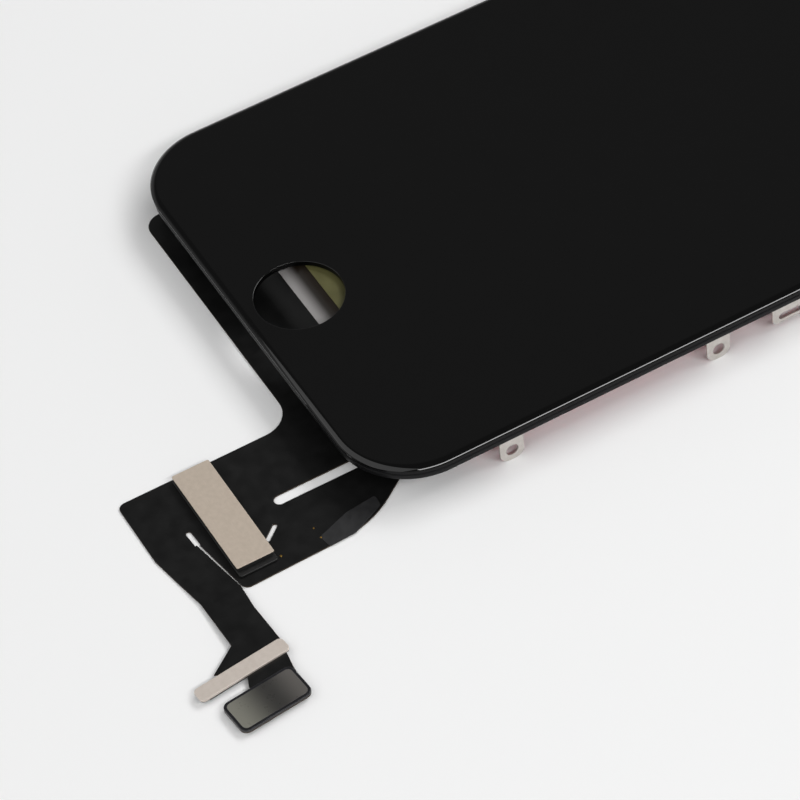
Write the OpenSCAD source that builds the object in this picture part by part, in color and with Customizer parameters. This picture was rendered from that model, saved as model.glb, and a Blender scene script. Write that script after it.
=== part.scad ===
// Phone screen assembly, lying face up with its flexible circuit unfolded from the button end.
// Millimetres. The origin is the middle of the cover glass's outer face, +Z points out of it,
// and the button end is towards -Y. Every height is measured down from the glass.

/* [Cover glass] */
// Width of the cover glass
glass_w = 63.5; // [60:0.1:70]
// Length of the cover glass
glass_l = 134.7; // [130:0.1:150]
// Thickness of the cover glass
glass_t = 0.7; // [0.5:0.05:1.0]
// Radius of the glass's corners in plan
glass_corner_r = 9.6; // [6:0.1:12]
// Width of the rounded band round the front face
edge_band = 0.9; // [0.5:0.05:1.2]
// How far the rounded band falls at the outline
edge_drop = 0.42; // [0.2:0.02:0.48]
// Bevel round the back edge of the glass
back_bevel = 0.1; // [0.05:0.01:0.15]

/* [Openings in the glass] */
// Diameter of the button hole
button_d = 10.8; // [9:0.1:11.4]
// Distance of the button hole's centre from the glass's end
button_inset = 7.3; // [7:0.1:7.8]
// Bevel round both rims of the button hole
hole_bevel = 0.12; // [0.05:0.01:0.2]
// Length of the earpiece slot
ear_l = 10.4; // [8:0.1:12]
// Width of the earpiece slot
ear_w = 1.3; // [1:0.05:1.6]
// Distance of the earpiece slot from the far end
ear_inset = 7.0; // [6:0.1:8]

/* [Bezel frame] */
// How far the frame stands inside the glass's outline
frame_inset = 0.18; // [0.1:0.01:0.3]
// Clearance of the cell and the backlight in the frame's opening
opening_gap = 0.2; // [0.15:0.01:0.25]
// Thickness of the frame's land and corner webs
land_t = 0.6; // [0.45:0.05:0.75]
// Height of the frame's outer wall
wall_h = 1.15; // [0.9:0.05:1.4]
// Thickness of the frame's outer wall
wall_t = 0.85; // [0.7:0.05:0.95]
// Height of the wall's upper part, above its shoulder
shoulder_h = 0.45; // [0.3:0.05:0.55]
// How far the wall's upper part stands inside the shoulder
shoulder_in = 0.1; // [0.06:0.01:0.15]
// Depth of the end bar at the button end
end_bar = 1.5; // [1.2:0.1:1.7]
// Wall of the collar round the button hole
collar_wall = 0.8; // [0.6:0.05:1.0]
// Clearance between the collar and the button hole's edge
collar_gap = 0.6; // [0.5:0.05:0.7]
// Thickness of the adhesive between the frame and the glass
bond_t = 0.15; // [0.1:0.01:0.2]
// How far the collar's open ends stop short of the circuit's bend
collar_open = 1.6; // [1.5:0.1:2.5]
// Room in the frame beside the circuit's bond
bond_room = 0.8; // [0.6:0.05:1.0]
// Margin of the far window beside the camera ring
window_side = 2.4; // [1:0.1:4]
// Depth of the far window below the earpiece slot
window_below = 4.6; // [3.6:0.1:5.5]

/* [Clips] */
// Thickness of the clip steel
clip_t = 0.3; // [0.2:0.05:0.4]
// How far the clips stand inside the frame's outer wall
clip_inset = 0.12; // [0.08:0.01:0.2]
// Width of a round-hole clip
tab_w = 3.1; // [2.6:0.1:3.6]
// Drop of a round-hole clip below the frame
tab_drop = 3.4; // [3.0:0.1:3.8]
// Radius of the clips' lower corners
tab_r = 1.2; // [0.8:0.1:1.4]
// Diameter of the hole in a round-hole clip
tab_hole_d = 1.6; // [1.2:0.05:1.8]
// Height of the round hole above the clip's lower edge
tab_hole_up = 1.55; // [1.4:0.05:1.8]
// Place of the outer round-hole clips, as a share of half the glass's length
tab_share_outer = 0.7417; // [0.72:0.0001:0.76]
// Place of the inner round-hole clips, as a share of half the glass's length
tab_share_inner = 0.3319; // [0.31:0.0001:0.35]
// Length of a slotted clip
slot_clip_l = 12; // [9:0.5:13]
// Drop of a slotted clip below the frame
slot_clip_drop = 2.5; // [2.2:0.1:2.9]
// Radius of a slotted clip's lower corners
slot_clip_r = 0.7; // [0.5:0.05:0.9]
// Place of the slotted clips, as a share of half the glass's length
slot_share = 0.1329; // [0.12:0.0001:0.15]
// Margin of steel round the slot
slot_margin = 0.85; // [0.6:0.05:1.0]
// Height of the slot
slot_h = 1.0; // [0.8:0.05:1.2]
// Steel left below the slot
slot_sill = 0.45; // [0.35:0.05:0.6]
// Height of the clip that is moulded into the frame
clip_root = 0.5; // [0.4:0.05:0.55]
// Reach of the clip's foot into the frame's land
clip_foot = 0.4; // [0.3:0.05:0.45]

/* [Display cell] */
// Border of the glass beside the active area
side_border = 2.5; // [2.4:0.05:2.8]
// Border of the glass between the active area and the button end
active_inset = 15.3; // [15.3:0.05:15.6]
// Border of the glass between the active area and the far end
far_border = 15.35; // [15:0.05:15.6]
// Border of the colour filter glass round the active area
cell_border = 0.4; // [0.3:0.05:0.5]
// Depth of the circuit ledge at the button end
ledge = 1.9; // [1.6:0.05:1.9]
// Thickness of the optical adhesive
oca_t = 0.15; // [0.1:0.01:0.2]
// Thickness of each polarizer
polarizer_t = 0.12; // [0.08:0.01:0.15]
// Thickness of each cell glass
cell_t = 0.15; // [0.12:0.01:0.2]
// How far each polarizer stops short of the cell glass
polarizer_inset = 0.15; // [0.1:0.05:0.2]
// Length of the display driver chip
driver_l = 24; // [18:0.5:30]
// Width of the display driver chip
driver_w = 0.85; // [0.7:0.05:1.0]
// Thickness of the display driver chip
driver_t = 0.2; // [0.15:0.01:0.22]

/* [Backlight] */
// Border of the backlight tray round the active area
tray_border = 0.9; // [0.8:0.05:0.95]
// Thickness of the tray's sheet steel
tray_t = 0.15; // [0.1:0.01:0.2]
// Depth of the tray beyond the active area at the lamp end
lamp_room = 1.9; // [1.8:0.05:1.95]
// Width of the white moulding round the light guide
moulding_w = 0.45; // [0.35:0.05:0.5]
// Thickness of the light guide
guide_t = 0.42; // [0.35:0.01:0.5]
// Thickness of each optical film
film_t = 0.07; // [0.05:0.01:0.1]
// Gap between the films and the moulding
film_gap = 0.05; // [0.03:0.01:0.1]
// Number of lamps along the light guide
lamps = 10; // [8:1:12]
// Length of a lamp
lamp_l = 3.0; // [2.4:0.1:3.4]
// Depth of a lamp
lamp_d = 0.6; // [0.5:0.05:0.7]
// How far the light guide reaches past the active area at the lamps
guide_over = 0.3; // [0.2:0.05:0.4]
// Thickness of the coloured liner film on the back
liner_t = 0.06; // [0.04:0.01:0.08]
// Overhang of the liner film past the tray
liner_over = 0.35; // [0.2:0.05:0.5]
// Length of the liner film's pull tab
liner_tab_l = 7; // [5:0.5:9]
// Width of the liner film's pull tab
liner_tab_w = 12; // [8:0.5:16]

/* [Flexible circuit] */
// Thickness of the flexible circuit
flex_t = 0.2; // [0.15:0.01:0.25]
// Distance of the circuit's bond from the sides of the glass
bond_border = 6.55; // [6.2:0.05:7]
// Length of the bond on the circuit ledge
bond_l = 0.4; // [0.3:0.05:0.5]
// Where the circuit's bend starts, from the glass's end
bend_top = 10.3; // [10:0.1:10.6]
// Where the bend reaches the surface below, from the glass's end
bend_foot = 4.7; // [4:0.1:5]
// How far the wide head stands out past the glass's end
head_out = 0.95; // [0.8:0.05:1.1]
// How far the wide head stands out past the bond on the left
head_margin = 1.0; // [0.6:0.05:1.4]
// Distance of the trunk's right edge inside the side of the glass
trunk_inset = 0.3; // [0.15:0.05:0.6]
// Width of the trunk
trunk_w = 18.75; // [18.2:0.05:19.3]
// Radius between the head and the trunk
trunk_fillet = 3.6; // [2:0.1:4.5]
// Outer end of the trunk's shielded part
trunk_end = 17.15; // [16.9:0.05:17.6]
// Width of the flap that carries the tail, beyond the trunk's end
flap_w = 6.7; // [6.6:0.05:7.2]
// Width of the slit between the trunk and the tail
slit_gap = 0.25; // [0.2:0.05:0.5]
// Distance of the slit's inner end from the trunk's left edge
slit_in = 10.2; // [9.8:0.05:10.6]
// Radius of the trunk's right edge as it curves in under the glass
trunk_curve = 14; // [10:0.5:15]
// How far the trunk narrows before that curve
trunk_taper = 0.35; // [0.2:0.05:0.6]
// Reach of the long slot in from the glass's end
relief_in = 3.25; // [2.5:0.05:3.5]
// Width of the long slot in the trunk
relief_w = 1.4; // [1.1:0.05:1.6]
// Distance of the long slot from the trunk's left edge
relief_x = 9.45; // [9:0.05:10]
// Distance of the long slot from the trunk's outer end
relief_out = 8.65; // [8:0.05:9]
// Thickness of the tape over the bond
tape_t = 0.07; // [0.05:0.01:0.1]
// Distance of the tape from the bend
tape_gap = 0.15; // [0.1:0.05:0.3]

/* [Shielded chip] */
// Length of the steel shield plate
plate_l = 16.15; // [15:0.05:16.6]
// Width of the steel shield plate
plate_w = 4.75; // [4.4:0.05:4.8]
// Thickness of the steel shield plate
plate_t = 0.15; // [0.1:0.01:0.2]
// Distance of the plate's centre line from the trunk's outer end
plate_inset = 2.65; // [2.5:0.05:2.8]
// Distance of the plate's left end from the trunk's left edge
plate_margin = 0.3; // [0.2:0.05:0.4]
// Thickness of the stiffener under the chip
chip_base_t = 0.3; // [0.2:0.02:0.35]
// How far the stiffener reaches past the plate's right end
chip_base_over = 0.75; // [0.5:0.05:0.9]
// Height of the black foam gasket round the chip
gasket_h = 0.5; // [0.4:0.05:0.6]
// Wall of the black foam gasket
gasket_wall = 0.7; // [0.5:0.05:0.9]
// Length of the touch controller chip
touch_l = 7.6; // [6:0.1:8]
// Width of the touch controller chip
touch_w = 2.6; // [2.2:0.1:3.0]
// Thickness of the touch controller chip
touch_t = 0.4; // [0.3:0.02:0.4]

/* [Tail and connectors] */
// Width of the steel bar over the display connector
bar_w = 2.0; // [1.8:0.05:2.2]
// Length of the steel bar
bar_l = 11.7; // [11:0.1:12.4]
// Thickness of the steel bar
bar_t = 0.3; // [0.2:0.02:0.4]
// Radius of the bar's corners
bar_r = 0.6; // [0.4:0.05:0.8]
// Distance of the bar's centre from the trunk's right edge
bar_out = 10.3; // [10:0.05:10.8]
// Distance of the bar's centre from the flap's outer end
bar_in = 0.9; // [0.7:0.05:1.1]
// Turn of the bar and its connector
bar_turn = 6.2; // [5:0.2:7]
// Width of the black pad over the touch connector
pad_w = 4.75; // [4.4:0.05:5]
// Length of the black pad
pad_l = 9.1; // [8.6:0.1:9.6]
// Thickness of the black pad
pad_t = 0.3; // [0.2:0.02:0.4]
// Radius of the pad's corners
pad_r = 0.9; // [0.5:0.05:1.2]
// Distance from the bar's centre to the pad's centre across the width
pad_step = 5.05; // [4.9:0.05:5.3]
// How much nearer the glass the pad's centre is than the bar's
pad_back = 0.5; // [0.4:0.05:0.6]
// Turn of the pad and its connector
pad_turn = 5.5; // [5:0.1:6]
// Mated height of the connectors
socket_h = 0.45; // [0.4:0.05:0.6]
// Where the tail starts to rise, inside the trunk's right edge
rise_in = 6.45; // [5.5:0.05:7]
// Distance of the tail's narrow part from the bar
neck_out = 7.25; // [6.5:0.05:8]
// Length of the display connector
bar_socket_l = 9.4; // [8:0.1:10]
// Width of the display connector
bar_socket_w = 1.3; // [1.1:0.05:1.5]
// Length of the touch connector
pad_socket_l = 7.2; // [6:0.1:7.6]
// Width of the touch connector
pad_socket_w = 2.2; // [1.9:0.05:2.4]
// Wall of both connectors round their groove
socket_wall = 0.4; // [0.3:0.05:0.45]
// Depth of the groove in both connectors
socket_groove = 0.25; // [0.15:0.05:0.3]

/* [Far end] */
// Outer diameter of the camera ring
camera_d = 6.4; // [6:0.1:7]
// Diameter of the camera ring's bore
camera_bore = 4.2; // [3.8:0.1:4.6]
// Gap between the dust mesh and the camera ring
camera_gap = 1.3; // [0.5:0.1:2]
// Outer diameter of the light sensor's ring
sensor_d = 3.0; // [2.6:0.1:3.2]
// Diameter of the sensor ring's bore
sensor_bore = 1.7; // [1.5:0.1:1.9]
// Gap between the dust mesh and the sensor ring
sensor_gap = 0.2; // [0.1:0.05:0.4]
// Height of both rings
ring_h = 0.9; // [0.7:0.05:1.0]
// Thickness of the earpiece's dust mesh
mesh_t = 0.12; // [0.08:0.01:0.15]
// Margin of the dust mesh round the slot
mesh_margin = 0.7; // [0.5:0.05:0.8]

/* [Hidden] */
$fn = 48;
eps = 0.01;
arc_steps = 6;
bend_steps = 14;
rise_steps = 10;

// Reference lines: the two ends of the glass and the levels of the stack
near_y = -glass_l / 2;
far_y = glass_l / 2;
glass_back = -glass_t;
land_top = glass_back - bond_t;
land_bottom = land_top - land_t;
frame_bottom = land_top - wall_h;
rest_z = frame_bottom - tab_drop;

// Half width and half length of the frame's outer wall
frame_hw = glass_w / 2 - frame_inset;
frame_hl = glass_l / 2 - frame_inset;
frame_r = glass_corner_r - frame_inset;
shoulder_z = land_top - shoulder_h;

// The display cell, from the glass down
oca_top = glass_back;
front_polarizer_top = oca_top - oca_t;
filter_top = front_polarizer_top - polarizer_t;
tft_top = filter_top - cell_t;
rear_polarizer_top = tft_top - cell_t;
film_top = rear_polarizer_top - polarizer_t;
guide_top = film_top - 3 * film_t;
reflector_top = guide_top - guide_t;
tray_floor = reflector_top - film_t;
tray_bottom = tray_floor - tray_t;
liner_bottom = tray_bottom - liner_t;

// Plan of the cell and the backlight
active_w = glass_w - 2 * side_border;
active_l = glass_l - active_inset - far_border;
cell_w = active_w + 2 * cell_border;
filter_near = near_y + active_inset - cell_border;
filter_far = near_y + active_inset + active_l + cell_border;
tft_near = filter_near - ledge;
tray_w = active_w + 2 * tray_border;
tray_near = near_y + active_inset - lamp_room;
tray_far = near_y + active_inset + active_l + tray_border;
guide_near = near_y + active_inset - guide_over;
opening_w = tray_w + 2 * opening_gap;
opening_near = tft_near - opening_gap;
opening_far = tray_far + opening_gap;

// The button hole and its collar
button_y = near_y + button_inset;
collar_in = button_d / 2 + collar_gap;
collar_out = collar_in + collar_wall;
collar_bottom = land_bottom;
collar_cut_y = near_y + bend_top - collar_open;

// The long side's clips
clip_out = frame_hw - clip_inset;
clip_in = clip_out - clip_t;
clip_top = frame_bottom + clip_root;

// The round-hole and slotted clips' places along a side
tab_y = [tab_share_outer * glass_l / 2, tab_share_inner * glass_l / 2];
slot_y = slot_share * glass_l / 2;

// Plan of the flexible circuit, with Y measured from the glass's end
bond_half = glass_w / 2 - bond_border;
head_left = -bond_half - head_margin;
head_far = glass_l / 4;
trunk_right = glass_w / 2 - trunk_inset;
trunk_left = trunk_right - trunk_w;
relief_end = trunk_end - relief_out;
relief_l = relief_end + relief_in;
flap_end = trunk_end + flap_w;
slit_x = trunk_left + slit_in;
slit_y = trunk_end + 1.4;
flap_right = slit_x + 1.1;
plate_y = trunk_end - plate_inset;

// The tail leaves the flap between two edges, and rises to the connectors
tail_low = flap_end - 1.45;
tail_high = trunk_end + slit_gap + 0.1;
bar_x = trunk_right + bar_out;
bar_y = flap_end - bar_in;
pad_x = bar_x + pad_step;
pad_y = bar_y - pad_back;
rise_from = trunk_right - rise_in;
rise_to = bar_x - 3.05;

// The flexible circuit's levels
bond_z = tft_top;
flex_low = rest_z;
flex_top = flex_low + flex_t;
end_low = rest_z + socket_h;
end_top = end_low + flex_t;
chip_top = flex_top + chip_base_t;
plate_low = chip_top + gasket_h;
plate_left = trunk_left + plate_margin;

// The far end's openings and rings
ear_y = far_y - ear_inset;
sensor_y = ear_y + ear_w / 2 + mesh_margin + sensor_gap + sensor_d / 2;
camera_x = ear_l / 2 + mesh_margin + camera_gap + camera_d / 2;
window_hw = camera_x + camera_d / 2 + window_side;
window_far = sensor_y + sensor_d / 2 + sensor_gap;

// Outline with each corner [x, y, r] rounded to its own radius r
function unit(v) = v / norm(v);
function arc_corner(a, b, c) =
    let (
        u = unit([a.x - b.x, a.y - b.y]),
        v = unit([c.x - b.x, c.y - b.y]),
        half = acos(max(-1, min(1, u * v))) / 2,
        r = b.z,
        reach = r / tan(half),
        centre = [b.x, b.y] + unit(u + v) * r / sin(half),
        from = [b.x, b.y] + u * reach - centre,
        to = [b.x, b.y] + v * reach - centre,
        start = atan2(from.y, from.x),
        turn = atan2(from.x * to.y - from.y * to.x, from * to)
    )
    [for (i = [0:arc_steps]) centre + r * [cos(start + turn * i / arc_steps), sin(start + turn * i / arc_steps)]];
function round_path(p) = [
    for (i = [0:len(p) - 1])
        each p[i].z == 0
            ? [[p[i].x, p[i].y]]
            : arc_corner(p[(i + len(p) - 1) % len(p)], p[i], p[(i + 1) % len(p)])
];

// Rounded rectangle about the middle, with true arcs
module rounded_rect(w, l, r) {
    square([w - 2 * r, l], center = true);
    square([w, l - 2 * r], center = true);
    for (sx = [-1, 1], sy = [-1, 1])
        translate([sx * (w / 2 - r), sy * (l / 2 - r)]) circle(r);
}

// Slot of length l and width w along X
module stadium(l, w) {
    square([l - w, w], center = true);
    for (s = [-1, 1]) translate([s * (l - w) / 2, 0]) circle(d = w);
}

// Flat sheet between two values of Y, hanging from a top level
module sheet(w, y0, y1, top, t) {
    translate([-w / 2, y0, top - t]) cube([w, y1 - y0, t]);
}

// Half section of the cover glass, from the corner's axis to its outline
function glass_section(r) =
    let (
        half = atan2(edge_drop, edge_band),
        arc_r = edge_band / sin(2 * half)
    )
    concat(
        [[0, -glass_t], [r - back_bevel, -glass_t], [r, -glass_t + back_bevel]],
        [for (i = [arc_steps:-1:0])
            let (a = 2 * half * i / arc_steps)
            [r - edge_band + arc_r * sin(a), arc_r * (cos(a) - 1)]],
        [[0, 0]]
    );

// Slab with the glass's section all round: revolved corners, extruded sides, flat middle
module glass_blank() {
    r = glass_corner_r;
    straight = [glass_w - 2 * r, glass_l - 2 * r];
    for (q = [0:3]) {
        sx = (q == 0 || q == 3) ? 1 : -1;
        sy = (q < 2) ? 1 : -1;
        translate([sx * straight.x / 2, sy * straight.y / 2, 0])
            rotate([0, 0, 90 * q]) rotate_extrude(angle = 90) polygon(glass_section(r));
        run = (q % 2 == 0) ? straight.y : straight.x;
        away = (q % 2 == 0) ? straight.x : straight.y;
        rotate([0, 0, 90 * q]) translate([away / 2, run / 2, 0])
            rotate([90, 0, 0]) linear_extrude(run) polygon(glass_section(r));
    }
    translate([-straight.x / 2, -straight.y / 2, -glass_t]) cube([straight.x, straight.y, glass_t]);
}

module cover_glass() {
    color([0.10, 0.10, 0.11]) difference() {
        glass_blank();
        translate([0, button_y, -glass_t - 1]) cylinder(d = button_d, h = glass_t + 2);
        translate([0, button_y, -hole_bevel])
            cylinder(d1 = button_d - eps, d2 = button_d + 4 * hole_bevel, h = 2 * hole_bevel + eps);
        translate([0, ear_y, -glass_t - 1]) linear_extrude(glass_t + 2) stadium(ear_l, ear_w);
    }
}

module optical_adhesive() {
    color([0.75, 0.80, 0.82]) sheet(cell_w, filter_near, filter_far, oca_top, oca_t);
}

module front_polarizer() {
    color([0.16, 0.17, 0.18])
        sheet(cell_w - 2 * polarizer_inset, filter_near + polarizer_inset,
            filter_far - polarizer_inset, front_polarizer_top, polarizer_t);
}

module colour_filter_glass() {
    color([0.35, 0.42, 0.45]) sheet(cell_w, filter_near, filter_far, filter_top, cell_t);
}

module tft_glass() {
    color([0.45, 0.52, 0.50]) sheet(cell_w, tft_near, filter_far, tft_top, cell_t);
}

module rear_polarizer() {
    color([0.20, 0.20, 0.22])
        sheet(cell_w - 2 * polarizer_inset, filter_near + polarizer_inset,
            filter_far - polarizer_inset, rear_polarizer_top, polarizer_t);
}

// The chip stands on the ledge, between the circuit's bond and the colour filter glass
module driver_chip() {
    room_near = tft_near + bond_l;
    chip_y = (room_near + filter_near) / 2;
    color([0.22, 0.22, 0.25])
        translate([-driver_l / 2, chip_y - driver_w / 2, tft_top]) cube([driver_l, driver_w, driver_t]);
}

// The light guide and the films share one plan, inside the moulding
module film_sheet(top, t) {
    film_hw = tray_w / 2 - tray_t - moulding_w - film_gap;
    sheet(2 * film_hw, guide_near, tray_far - tray_t - moulding_w - film_gap, top, t);
}

module upper_prism_film() {
    color([0.86, 0.88, 0.92]) film_sheet(film_top, film_t);
}

module lower_prism_film() {
    color([0.82, 0.85, 0.90]) film_sheet(film_top - film_t, film_t);
}

module diffuser_film() {
    color([0.95, 0.95, 0.93]) film_sheet(film_top - 2 * film_t, film_t);
}

module light_guide() {
    color([0.80, 0.92, 0.95]) film_sheet(guide_top, guide_t);
}

module reflector_film() {
    color([0.97, 0.97, 0.98]) film_sheet(reflector_top, film_t);
}

module backlight_lamps() {
    pitch = (active_w - lamp_l) / (lamps - 1);
    color([0.98, 0.92, 0.60])
        for (i = [0:lamps - 1])
            translate([-active_w / 2 + i * pitch, guide_near - lamp_d, reflector_top])
                cube([lamp_l, lamp_d, guide_t]);
}

// The lamps' circuit lies in the tray beside the reflector, as thick as it
module lamp_circuit() {
    color([0.75, 0.55, 0.20])
        sheet(active_w, tray_near + tray_t, guide_near - film_gap, reflector_top, film_t);
}

// White frame that stands in the tray round the light guide and its films
module backlight_moulding() {
    hw = tray_w / 2 - tray_t;
    y0 = tray_near + tray_t;
    y1 = tray_far - tray_t;
    color([0.94, 0.94, 0.92]) difference() {
        translate([-hw, y0, tray_floor]) cube([2 * hw, y1 - y0, film_top - tray_floor]);
        translate([-hw + moulding_w, y0 - 1, tray_floor - 1])
            cube([2 * (hw - moulding_w), y1 - y0 - moulding_w + 1, film_top - tray_floor + 2]);
    }
}

module backlight_tray() {
    color([0.78, 0.78, 0.80]) difference() {
        translate([-tray_w / 2, tray_near, tray_bottom])
            cube([tray_w, tray_far - tray_near, film_top - tray_bottom]);
        translate([-tray_w / 2 + tray_t, tray_near + tray_t, tray_floor])
            cube([tray_w - 2 * tray_t, tray_far - tray_near - 2 * tray_t, film_top - tray_floor + 1]);
    }
}

module rear_liner_film() {
    w = tray_w + 2 * liner_over;
    y0 = tray_near - liner_over;
    y1 = tray_far + liner_over;
    color([0.85, 0.30, 0.32, 0.7]) translate([0, 0, liner_bottom]) linear_extrude(liner_t)
        polygon(round_path([
            [-w / 2, y0, 1], [w / 2, y0, 1], [w / 2, y1, 1],
            [liner_tab_w / 2, y1, 1], [liner_tab_w / 2, y1 + liner_tab_l, 2],
            [-liner_tab_w / 2, y1 + liner_tab_l, 2], [-liner_tab_w / 2, y1, 1], [-w / 2, y1, 1]
        ]));
}

// Plan of the frame's outer wall, at a distance inside the frame's outline
module wall_outline(inset) {
    rounded_rect(2 * (frame_hw - inset), 2 * (frame_hl - inset), frame_r - inset);
}

module wall_ring(inset) {
    difference() {
        wall_outline(inset);
        wall_outline(wall_t);
    }
}

// Plan of the frame's land, shared by the frame and its adhesive
module land_plan() {
    difference() {
        wall_outline(shoulder_in);
        translate([-opening_w / 2, opening_near]) square([opening_w, opening_far - opening_near]);
        translate([-bond_half - bond_room, near_y + end_bar])
            square([2 * (bond_half + bond_room), opening_near - near_y - end_bar + 1]);
        translate([-window_hw, ear_y - window_below])
            square([2 * window_hw, window_far - ear_y + window_below]);
    }
    difference() {
        translate([0, button_y]) circle(collar_out);
        translate([0, button_y]) circle(collar_in);
        translate([-glass_w / 2, collar_cut_y]) square([glass_w, button_d]);
    }
}

module frame_adhesive() {
    color([0.20, 0.20, 0.20]) translate([0, 0, land_top]) linear_extrude(bond_t) land_plan();
}

module bezel_frame() {
    color([0.09, 0.09, 0.10]) difference() {
        union() {
            translate([0, 0, land_bottom]) linear_extrude(land_t) land_plan();
            translate([0, 0, frame_bottom]) linear_extrude(wall_h) wall_ring(shoulder_in);
            translate([0, 0, frame_bottom]) linear_extrude(wall_h - shoulder_h) wall_ring(0);
        }
        for (side = [-1, 1]) {
            round_clips(side);
            slotted_clips(side);
        }
    }
}

// Sheet steel in the plane of a long side, from an outline of [distance along Y, height, radius]
module clip_sheet(side, outline) {
    translate([side > 0 ? clip_in : -clip_out, 0, 0])
        rotate([90, 0, 90]) linear_extrude(clip_t) polygon(round_path(outline));
}

module clip_foot_bar(side, y, l) {
    x0 = side > 0 ? clip_in - clip_foot : -clip_in;
    translate([x0, y - l / 2, clip_top - clip_t]) cube([clip_foot, l, clip_t]);
}

module round_clip(side, y) {
    difference() {
        clip_sheet(side, [
            [y - tab_w / 2, clip_top, 0], [y - tab_w / 2, rest_z, tab_r],
            [y + tab_w / 2, rest_z, tab_r], [y + tab_w / 2, clip_top, 0]
        ]);
        translate([side * (clip_in - 1), y, rest_z + tab_hole_up])
            rotate([0, side * 90, 0]) cylinder(d = tab_hole_d, h = clip_t + 2);
    }
    clip_foot_bar(side, y, tab_w);
}

module slotted_clip(side, y) {
    low = frame_bottom - slot_clip_drop;
    hole_l = slot_clip_l - 2 * slot_margin;
    slot_z = low + slot_sill + slot_h / 2;
    difference() {
        clip_sheet(side, [
            [y - slot_clip_l / 2, clip_top, 0], [y - slot_clip_l / 2, low, slot_clip_r],
            [y + slot_clip_l / 2, low, slot_clip_r], [y + slot_clip_l / 2, clip_top, 0]
        ]);
        translate([side > 0 ? clip_in - 1 : -clip_out - 1, y, slot_z])
            rotate([90, 0, 90]) linear_extrude(clip_t + 2) stadium(hole_l, slot_h);
    }
    clip_foot_bar(side, y, slot_clip_l);
}

module round_clips(side) {
    for (y = tab_y, s = [-1, 1]) round_clip(side, s * y);
}

module slotted_clips(side) {
    for (s = [-1, 1]) slotted_clip(side, s * slot_y);
}

module round_clips_right() {
    color([0.80, 0.77, 0.74]) round_clips(1);
}

module round_clips_left() {
    color([0.80, 0.77, 0.74]) round_clips(-1);
}

module slotted_clips_right() {
    color([0.80, 0.77, 0.74]) slotted_clips(1);
}

module slotted_clips_left() {
    color([0.80, 0.77, 0.74]) slotted_clips(-1);
}

// Smooth step from 0 to 1 between a and b
function ease(a, b, s) = let (u = max(0, min(1, (s - a) / (b - a)))) u * u * (3 - 2 * u);
function ease_slope(a, b, s) =
    let (u = max(0, min(1, (s - a) / (b - a)))) 6 * u * (1 - u) / (b - a);

// Lower face of the circuit's bend, and the point a thickness above it
function bend_point(y, up) =
    let (
        from = near_y + bend_foot,
        to = near_y + bend_top,
        slope = (bond_z - flex_low) * ease_slope(from, to, y),
        away = unit([-slope, 1]) * up
    )
    [y, flex_low + (bond_z - flex_low) * ease(from, to, y)] + away;
function bend_run() =
    [for (i = [0:bend_steps]) near_y + bend_foot + (bend_top - bend_foot) * i / bend_steps];

// Side view of the main circuit: flat on the surface, up the bend and onto the cell's ledge
module bend_section() {
    outer = near_y - flap_end - 2;
    inner = tft_near + bond_l;
    polygon(concat(
        [[outer, flex_low]], [for (y = bend_run()) bend_point(y, 0)], [[inner, bond_z], [inner, bond_z + flex_t]],
        [for (i = [bend_steps:-1:0]) bend_point(bend_run()[i], flex_t)], [[outer, flex_top]]
    ));
}

// Outline of the main circuit: the head, the trunk, the flap and the narrower bond
function main_outline() = round_path([
    [head_left, -head_out, 2.2], [trunk_left, -head_out, trunk_fillet],
    [trunk_left, -flap_end, 0.9], [slit_x - 0.5, -flap_end, 0], [flap_right, -flap_end + 0.28, 0],
    [flap_right, -slit_y - slit_gap + 0.18, 0], [slit_x - 0.8, -slit_y - slit_gap / 2, 0],
    [trunk_right, -trunk_end, 1.0], [trunk_right - trunk_taper, -0.8, trunk_curve],
    [bond_half, bend_foot + 2.9, 1],
    [bond_half, head_far, 0], [-bond_half, head_far, 0],
    [-bond_half, bend_foot + 2.9, 1], [head_left, bend_foot + 0.3, 1]
]);

// The long relief slot, the slit's own opening and the small slot beside the shield plate
module main_plan() {
    difference() {
        translate([0, near_y]) polygon(main_outline());
        translate([trunk_left + relief_x, near_y - relief_end + relief_l / 2])
            rotate([0, 0, 90]) stadium(relief_l, relief_w);
        translate([slit_x - 1.1, near_y - slit_y - slit_gap / 2 - 0.1]) rotate([0, 0, 3]) stadium(2.4, 0.62);
        translate([plate_left + plate_l - 3.25, near_y - plate_y + 3.6])
            rotate([0, 0, -50]) stadium(2.6, 0.55);
    }
}

module turned(x, y, turn) {
    translate([x, near_y - y, 0]) rotate([0, 0, turn]) children();
}

// Plan of the tail, the bar's seat, the link and the pad's seat
module tail_plan() {
    translate([0, near_y]) polygon(round_path([
        [slit_x - 0.5, -flap_end, 0], [trunk_right - 0.75, -tail_low, 3], [bar_x - 3.75, -tail_low + 0.1, 0],
        [bar_x - 1.2, -tail_low - 3.4, 0], [bar_x + 0.4, -tail_low - 0.2, 0],
        [bar_x + 2.3, -tail_low - 0.9, 0.8], [pad_x - 1, -tail_low - 1.0, 0],
        [pad_x - 1, -tail_high - 0.6, 0], [bar_x + 2.4, -tail_high - 0.4, 0], [bar_x - 1.6, -tail_high + 0.2, 0],
        [bar_x - neck_out, -tail_high - 0.1, 6], [trunk_right - 0.55, -tail_high + 0.1, 3],
        [slit_x, -slit_y - slit_gap, 0]
    ]));
    turned(bar_x, bar_y, bar_turn) rounded_rect(bar_w - 0.2, bar_l - 0.2, bar_r - 0.1);
    turned(pad_x, pad_y, pad_turn) rounded_rect(pad_w, pad_l, pad_r);
}

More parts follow.
